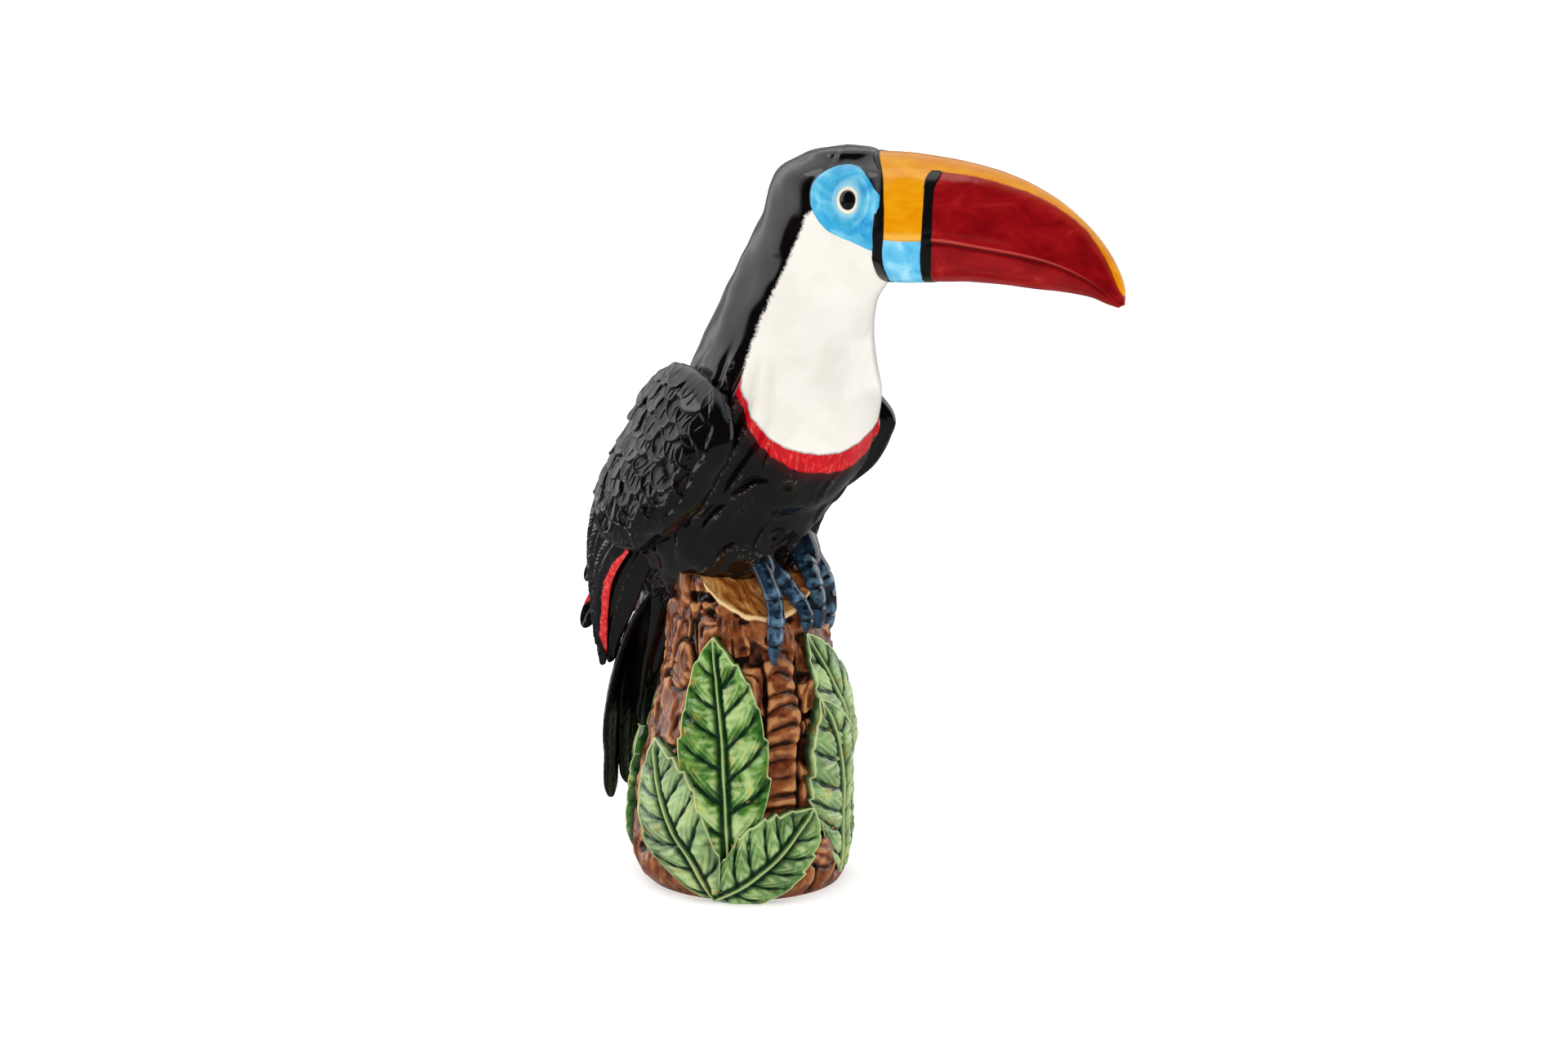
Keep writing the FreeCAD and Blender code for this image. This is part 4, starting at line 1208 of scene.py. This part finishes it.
def cut_face(edge, is_cut):
    """The cut face and the top under the bird, drawn in from the wall's edge: points, grain and rim."""
    s = (np.linspace(0, 1, 27)[1:] ** 1.5)[:, None]
    q = edge[None] * (1 - s[..., None]) + np.array((2.0, -2.0, 0)) * s[..., None]
    away = (q - CUT_POINT)[..., :2] @ CUT_NORMAL[:2]
    level = np.minimum(CUT_POINT[2] - away / CUT_NORMAL[2], STUMP_TOP)
    join = smoothstep(s, 0, 0.04)
    q[..., 2] = edge[None, :, 2] * (1 - join) + level * join
    grain = 0.5 * noise(q, (30, 5, 12), 61) + 0.3 * noise(q, (16, 2.4, 6), 62)
    grain += 1.0 * noise(q, (20, 14, 20), 63)
    dished = join * (grain * 0.9 - 1.0 * smoothstep(s, 0.02, 0.2))
    q[..., 2] += (dished + 0.8 * bump(s, 0.02, 0.03)) * is_cut
    return q, grain * 0.6, bump(s, 0.0, 0.028) * is_cut


def stump():
    """The hollow stump, one closed surface from the vent down the hollow and up the bark to the top."""
    azimuth = np.linspace(-180, 180, 500, endpoint=False)
    rim = rim_height(azimuth)
    is_cut = smoothstep(STUMP_TOP - rim, 0.3, 4)[None, :]
    below, regions = underside(azimuth)
    wall, bark_height, wall_rim = outer_wall(azimuth, rim, is_cut)
    face, grain, face_rim = cut_face(wall[-1], is_cut)
    lift = np.concatenate([0 * regions, bark_height, grain])
    fields = {
        "cavity": lift - round_blur(lift, 3, 4),
        "region": np.concatenate([regions, BARK + 0 * bark_height, FACE + 0 * grain]),
        "rim": np.concatenate([0 * regions, wall_rim, face_rim]),
        "depth": lift,
    }
    points = np.concatenate([below, wall, face])
    make_piece("bark_shell", [(points, fields)], bark_glaze(), "stump_shell")


# ---- leaves -------------------------------------------------------------------------------------
# A degree round the stump is about this many mm.
DEGREE = 0.98
# How far the side veins lean toward the tip.
STEEP = 0.80


def even(profile, share):
    """A leaf's widths, the same on both sides."""
    return [(t, w * share, w * share) for t, w in profile]


def straight(heading, tilt, middle, half_length, bend):
    """A path on the stump's side: azimuth and height from stalk to tip, leaning by tilt degrees."""
    t = np.linspace(-1, 1, 7)
    a = math.radians(tilt)
    x = heading + t * half_length * math.sin(-a) + bend * (t**2 - 0.3)
    return list(zip(x, np.maximum(middle + t * half_length * math.cos(a), 0.6)))


BROAD = [
    (0, 3), (0.08, 7), (0.22, 14), (0.38, 20.5), (0.55, 21.5), (0.72, 18.5), (0.88, 12), (0.96, 6), (1, 0.3),
]
# Each leaf: its (azimuth, height) path, widths as (share, left, right), lift off the stump as (share, mm),
# the number of teeth on a side, and how pale its glaze is.
LEAVES = {
    "front_centre": (
        [(-60, 2), (-60, 16), (-60.5, 30), (-62.5, 58), (-66.5, 82), (-71.5, 104), (-76, 126), (-78, 147)],
        [(0, 3, 3), (0.1, 7, 7), (0.22, 14, 14), (0.36, 20.5, 20.5), (0.52, 24, 23.5), (0.68, 22.5, 22),
         (0.82, 18, 18), (0.92, 11, 11), (1, 0.3, 0.3)],
        [(0, 0.5), (0.18, 1.8), (0.34, 3.4), (0.5, 3.8), (1, 3.4)], 8, 0.0),
    "front_left": (
        [(-71, 1), (-73.5, 12), (-79.5, 26), (-87, 36), (-93, 47), (-101, 63), (-112, 87)],
        [(0, 3, 3), (0.1, 10, 8), (0.28, 17, 15), (0.5, 19, 19), (0.7, 16, 19), (0.86, 10, 13),
         (1, 0.3, 0.3)],
        [(0, 4), (0.4, 5.8), (1, 4.6)], 6, 0.5),
    "front_right": (
        [(-70, 1), (-61, 6), (-52, 12), (-44, 19), (-36, 26), (-27, 36), (-15, 52)],
        [(0, 3, 3), (0.1, 10, 8), (0.3, 19, 14), (0.5, 22, 16), (0.7, 20, 15), (0.88, 12, 10), (1, 0.3, 0.3)],
        [(0, 4.2), (0.4, 5.8), (1, 4.8)], 6, 0.2),
    "side_left": (
        [(12, 8), (14, 24), (13, 40), (9, 54), (4, 72), (0, 88), (-6, 102), (-11, 112)],
        [(0, 3, 3), (0.12, 12, 10), (0.3, 20, 17), (0.5, 23, 18), (0.7, 20, 15), (0.86, 13, 10),
         (1, 0.3, 0.3)],
        [(0, 1.0), (0.3, 3.4), (0.6, 6.4), (1, 6.6)], 6, 0.35),
    "side_centre": (
        [(30, 2), (30, 24), (28, 50), (22, 76), (13, 100), (2, 124), (-10, 147)],
        [(0, 3, 3), (0.1, 8, 8), (0.25, 17, 17), (0.42, 23, 23), (0.6, 22, 23), (0.78, 17, 19), (0.92, 9, 10),
         (1, 0.3, 0.3)],
        [(0, -3), (0.25, -1.0), (0.45, 2.8), (0.75, 4.4), (1, 3.6)], 8, 0.4),
    "side_right": (straight(56, -12, 42, 42, 3), even(BROAD, 0.95), [(0, 1), (0.5, 3.4), (1, 4.2)], 7, 0.0),
    "back_centre": (straight(170, 0, 62, 60, 3), even(BROAD, 1.1), [(0, -3), (0.4, 2.4), (1, 3.2)], 8, 0.0),
    "back_left": (straight(136, 14, 40, 38, -4), even(BROAD, 0.92), [(0, 3), (1, 4.4)], 6, 0.0),
    "back_right": (straight(-157, -12, 44, 42, 4), even(BROAD, 0.96), [(0, 3), (1, 4.4)], 6, 0.0),
}


def midrib_line(path):
    """A leaf's midrib laid out flat in mm: points and directions along it, and its length."""
    flat = np.asarray(path, float) * (DEGREE, 1.0)
    steps = distances(flat)
    fine = spline(np.c_[flat, 0 * flat[:, 0]], 400, knots=steps)[:, :2]
    return fine, unit(blur(np.gradient(fine, axis=0), (10, 0))), steps[-1]


def half_width(widths, t, length, phase, number, seed):
    """Width of one half along a leaf, measured along its leaning side veins and cut into teeth."""
    share = np.linspace(0, 1, 400)
    profile = np.clip(table_at(widths, share), 0.05, None)
    w = np.interp(t, share, profile)
    for _ in range(12):
        w = 0.5 * w + 0.5 * np.interp(np.clip(t + STEEP * w / length, 0, 1), share, profile)
    w = np.minimum(w, (1 - t) * length / STEEP * 0.96)
    tooth = np.where(phase < 0.84, (phase / 0.84) ** 1.4, (1 - phase) / 0.16)
    uneven = 0.65 + 0.35 * np.sin(11 * t + 2 * seed + number)
    depth = np.minimum(0.12 * w, 2.3) * smoothstep(t, 0.02, 0.12) * uneven
    depth = depth * (1 - 0.6 * smoothstep(t, 0.86, 1.0))
    return np.maximum(w * 1.05 - depth * (1 - tooth), 0.05)[:, None]


def half_leaf(path, widths, teeth, number, sign, seed):
    """One half of a leaf laid flat: grid, relief, vein darkness, and distance from the edge and midrib.

    Rows of the grid run along the side veins, so each vein, lobe and tooth is one band of rows.
    """
    fine, direction, length = midrib_line(path)
    along = np.linspace(0, length, 400)
    t = np.linspace(0, 1, 30 * teeth)
    count = teeth + 0.6
    phase = (t**0.90 * count + 0.35 * number + 0.16 * np.sin(7 * t + seed)) % 1.0
    w = half_width(widths, t, length, phase, number, seed)
    share = np.linspace(0, 1, 34)[None, :] ** 0.9
    across = share * w
    ahead = np.clip(t[:, None] * length + STEEP * across * (0.55 + 0.45 * share), 0, length)
    base = np.stack([np.interp(ahead, along, fine[:, i]) for i in (0, 1)], -1)
    forward = [np.interp(t * length, along, direction[:, i]) for i in (0, 1)]
    side = np.stack([-forward[1], forward[0]], -1) * sign
    grid = base + side[:, None, :] * across[..., None]
    on = np.stack([grid[..., 0], grid[..., 1], 0 * across], -1)
    # the share of the way from one side vein to the next
    lane = (phase[:, None] + 0.16 + 0.06 * noise(on, 11, seed + 8)) % 1.0
    from_vein = np.minimum(lane, 1 - lane) * length / count
    vein = bump(from_vein, 0, 0.95 - 0.35 * share)
    room = smoothstep(across, 0.8, 6.0)
    edge = w - across
    # plump lobes between sunk veins, a raised midrib between grooves, a raised rim, and fine ripples
    plump = 3.4 * min(1.0, length / 120) * (0.75 + 0.35 * noise(on, 16, seed + 9))
    h = plump * np.sin(np.pi * lane**1.2) ** 0.8 * room * (0.40 + 0.60 * smoothstep(edge, 0, 9))
    h -= 1.2 * vein * smoothstep(across, 0.5, 2.5) * smoothstep(edge, 0.5, 5)
    h -= 1.5 * bump(across, 2.0, 1.3) * smoothstep(w, 3, 7)
    h += 1.8 * bump(across, 0, 0.75) * smoothstep(1 - t[:, None], 0, 0.1)
    h += 0.7 * (1 - smoothstep(edge, 0.2, 1.6)) * smoothstep(w, 2, 6)
    h += 0.45 * np.sin((across - 1.6 * from_vein) * 0.95 + seed) * room * smoothstep(edge, 1, 4)
    dark = vein * smoothstep(across, 0.6, 2.0) * smoothstep(edge, 0.8, 5.0)
    return grid, h, np.maximum(dark, 0.9 * bump(across, 1.7, 0.7)), edge, across


def leaf(name, node, path, widths, lift, teeth, pale, seed):
    """A serrated leaf laid on the stump."""
    widths = np.asarray(widths, float)
    halves = [half_leaf(path, widths[:, [0, k]], teeth, k, sign, seed) for k, sign in ((1, 1), (2, -1))]
    plan, h, vein, edge, mid = (np.concatenate([a[:, ::-1], b[:, 1:]], 1) for a, b in zip(*halves))
    azimuth, z = plan[..., 0] / DEGREE, np.maximum(plan[..., 1], 0.4)
    on = np.stack([plan[..., 0], z, 0 * z], -1)
    h = blur(h + 0.8 * noise(on, 15, seed + 3) + 0.2 * noise(on, 6, seed + 4), (0.8, 0.5))
    drape = table_at(lift, np.linspace(0, 1, len(z)))[:, None] + 1.3 * noise(on, 30, seed + 5)
    # the blade's edge drops into the bark, and the underside stays buried
    parts = [wall_point(azimuth, z, drape + h)]
    for columns, depth in (([-1], -0.6), (slice(-2, 0, -11), -2.2), ([0], -0.6)):
        parts.append(wall_point(azimuth[:, columns], z[:, columns], depth + 0 * z[:, columns]))
    points = np.concatenate(parts, 1)
    extra = points.shape[1] - z.shape[1]

    def pad(field, value):
        return np.concatenate([field, np.full((len(z), extra), value)], 1)

    fields = {
        # the walls where the edge drops into the bark get a low cavity and level, which leaf_glaze paints
        # dark: a painted shadow under the leaf's rim
        "cavity": pad(h - blur(h, (5, 3)), -1.2),
        "vein": pad(vein, 0.0),
        "edge": pad(edge, 5.0),
        "mid": pad(mid, 9.0),
        "level": pad(h, 0.0),
        "pale": pad(0 * h + pale, pale),
    }
    make_piece(name, [(points, fields)], LEAF, node)


def leaves():
    for seed, (place, row) in enumerate(LEAVES.items(), 1):
        group, side = place.split("_")
        leaf(f"{place}_blade", f"{group}_leaf_{side}", *row, seed)


# ---- put it together ----------------------------------------------------------------------------
WALL = spline(STUMP, 400)
BLACK = black_glaze("black_glaze", wear=0.7)
FEATHER = black_glaze("feather_glaze", red_edge_glaze)
FOOT = foot_glaze()
LEAF = leaf_glaze()
bird()
bill()
wing("right_wing_coverts", RIGHT_WING, -1, "right_wing", 71)
wing("left_wing_coverts", LEFT_WING, 1, "left_wing", 72)
flight_feathers("right_flight_vanes", "right_flight_feathers", RIGHT_FEATHERS, 30, 0.8)
flight_feathers("left_flight_vanes", "left_flight_feathers", LEFT_FEATHERS, 50, 0.6)
tail_feather("tail_centre_vane", "tail_centre_feather", CENTRE_TAIL, 19)
tail_feather("tail_right_vane", "tail_right_feather", RIGHT_TAIL, 18)
tail_feather("tail_left_vane", "tail_left_feather", LEFT_TAIL, 26)
undertail()
feet()
eye("right_pupil", "right_eye", -1)
eye("left_pupil", "left_eye", 1)
stump()
leaves()


# ---- floor, light and camera --------------------------------------------------------------------
def floor():
    """A white table lit from within, so no grey shadow gathers round the foot; reflections don't see it."""
    mesh = bpy.data.meshes.new("floor")
    mesh.from_pydata([(-40, -40, 0), (40, -40, 0), (40, 40, 0), (-40, 40, 0)], [], [(0, 1, 2, 3)])
    ground = bpy.data.objects.new("floor", mesh)
    bpy.context.scene.collection.objects.link(ground)
    paper = bpy.data.materials.new("paper")
    paper.use_nodes = True
    look = {
        "Base Color": (0.95, 0.95, 0.95, 1),
        "Roughness": 0.95,
        "Specular IOR Level": 0.0,
        "Emission Color": (1, 1, 1, 1),
        "Emission Strength": 0.40,
    }
    for name, value in look.items():
        paper.node_tree.nodes["Principled BSDF"].inputs[name].default_value = value
    mesh.materials.append(paper)
    ground.visible_glossy = False


def sky():
    """Even white light; the glaze's reflections see a white tent that is open on its front side."""
    world = bpy.data.worlds.new("studio")
    world.use_nodes = True
    tree = world.node_tree
    where = tree.nodes.new("ShaderNodeTexCoord").outputs["Generated"]

    def toward(direction, near, far, low, high):
        """low where the sky is farther than far degrees from a direction, high nearer than near."""
        dot = tree.nodes.new("ShaderNodeVectorMath")
        dot.operation = "DOT_PRODUCT"
        tree.links.new(where, dot.inputs[0])
        dot.inputs[1].default_value = Vector(direction).normalized()
        span = tree.nodes.new("ShaderNodeMapRange")
        span.interpolation_type = "SMOOTHSTEP"
        tree.links.new(dot.outputs["Value"], span.inputs[0])
        values = (math.cos(math.radians(far)), math.cos(math.radians(near)), low, high)
        for socket, value in zip(list(span.inputs)[1:5], values):
            socket.default_value = value
        return span.outputs[0]

    def combine(operation, a, b):
        node = tree.nodes.new("ShaderNodeMath")
        node.operation = operation
        tree.links.new(a, node.inputs[0])
        tree.links.new(b, node.inputs[1])
        return node.outputs[0]

    tent = toward((0.58, -0.80, 0.10), 68, 84, 1.25, 0.02)
    behind = toward((-0.58, 0.80, -0.12), 24, 46, 1.0, 0.25)
    lamp = toward((-0.55, -0.45, 0.9), 9, 11, 0.0, 1.4)
    above = toward((0, 0, 1), 97, 104, 0.0, 1.0)
    table = toward((0, 0, -1), 70, 77, 0.0, 0.22)
    even_light = toward((-0.5, -0.4, 1.0), 10, 90, 0.89, 1.13)
    upper = combine("MULTIPLY", combine("ADD", combine("MULTIPLY", tent, behind), lamp), above)
    blend = tree.nodes.new("ShaderNodeMix")
    tree.links.new(tree.nodes.new("ShaderNodeLightPath").outputs["Is Glossy Ray"], blend.inputs[0])
    tree.links.new(even_light, blend.inputs[2])
    tree.links.new(combine("ADD", upper, table), blend.inputs[3])
    background = tree.nodes["Background"]
    background.inputs["Color"].default_value = (1, 1, 1, 1)
    tree.links.new(blend.outputs[0], background.inputs["Strength"])
    bpy.context.scene.world = world


def key_light():
    """A small square lamp, high on the camera's left, that reflections don't see."""
    light = bpy.data.lights.new("key", "AREA")
    light.shape = "RECTANGLE"
    light.size, light.size_y = 0.5, 0.5
    light.energy = 4
    lamp = bpy.data.objects.new("key", light)
    place, aim = Vector((-1.3, -1.1, 2.2)), Vector((0, 0, 0.22))
    lamp.location = place
    lamp.rotation_euler = (aim - place).to_track_quat("-Z", "Y").to_euler()
    lamp.visible_glossy = False
    bpy.context.scene.collection.objects.link(lamp)


def camera():
    azimuth, elevation, distance = math.radians(36), math.radians(11.5), 1.8
    # the aim lies this far right of the origin as the camera sees it
    right = 0.0221
    aim = Vector((0.809 * right, 0.588 * right, 0.2009))
    level = math.cos(elevation)
    away = Vector((math.sin(azimuth) * level, -math.cos(azimuth) * level, math.sin(elevation)))
    data = bpy.data.cameras.new("camera")
    data.lens, data.sensor_width = 75, 36
    data.clip_start, data.clip_end = 0.05, 100
    viewer = bpy.data.objects.new("camera", data)
    viewer.location = aim + away * distance
    viewer.rotation_euler = (-away).to_track_quat("-Z", "Y").to_euler()
    bpy.context.scene.collection.objects.link(viewer)
    bpy.context.scene.camera = viewer


floor()
sky()
key_light()
camera()
bpy.context.scene.view_settings.view_transform = "Standard"
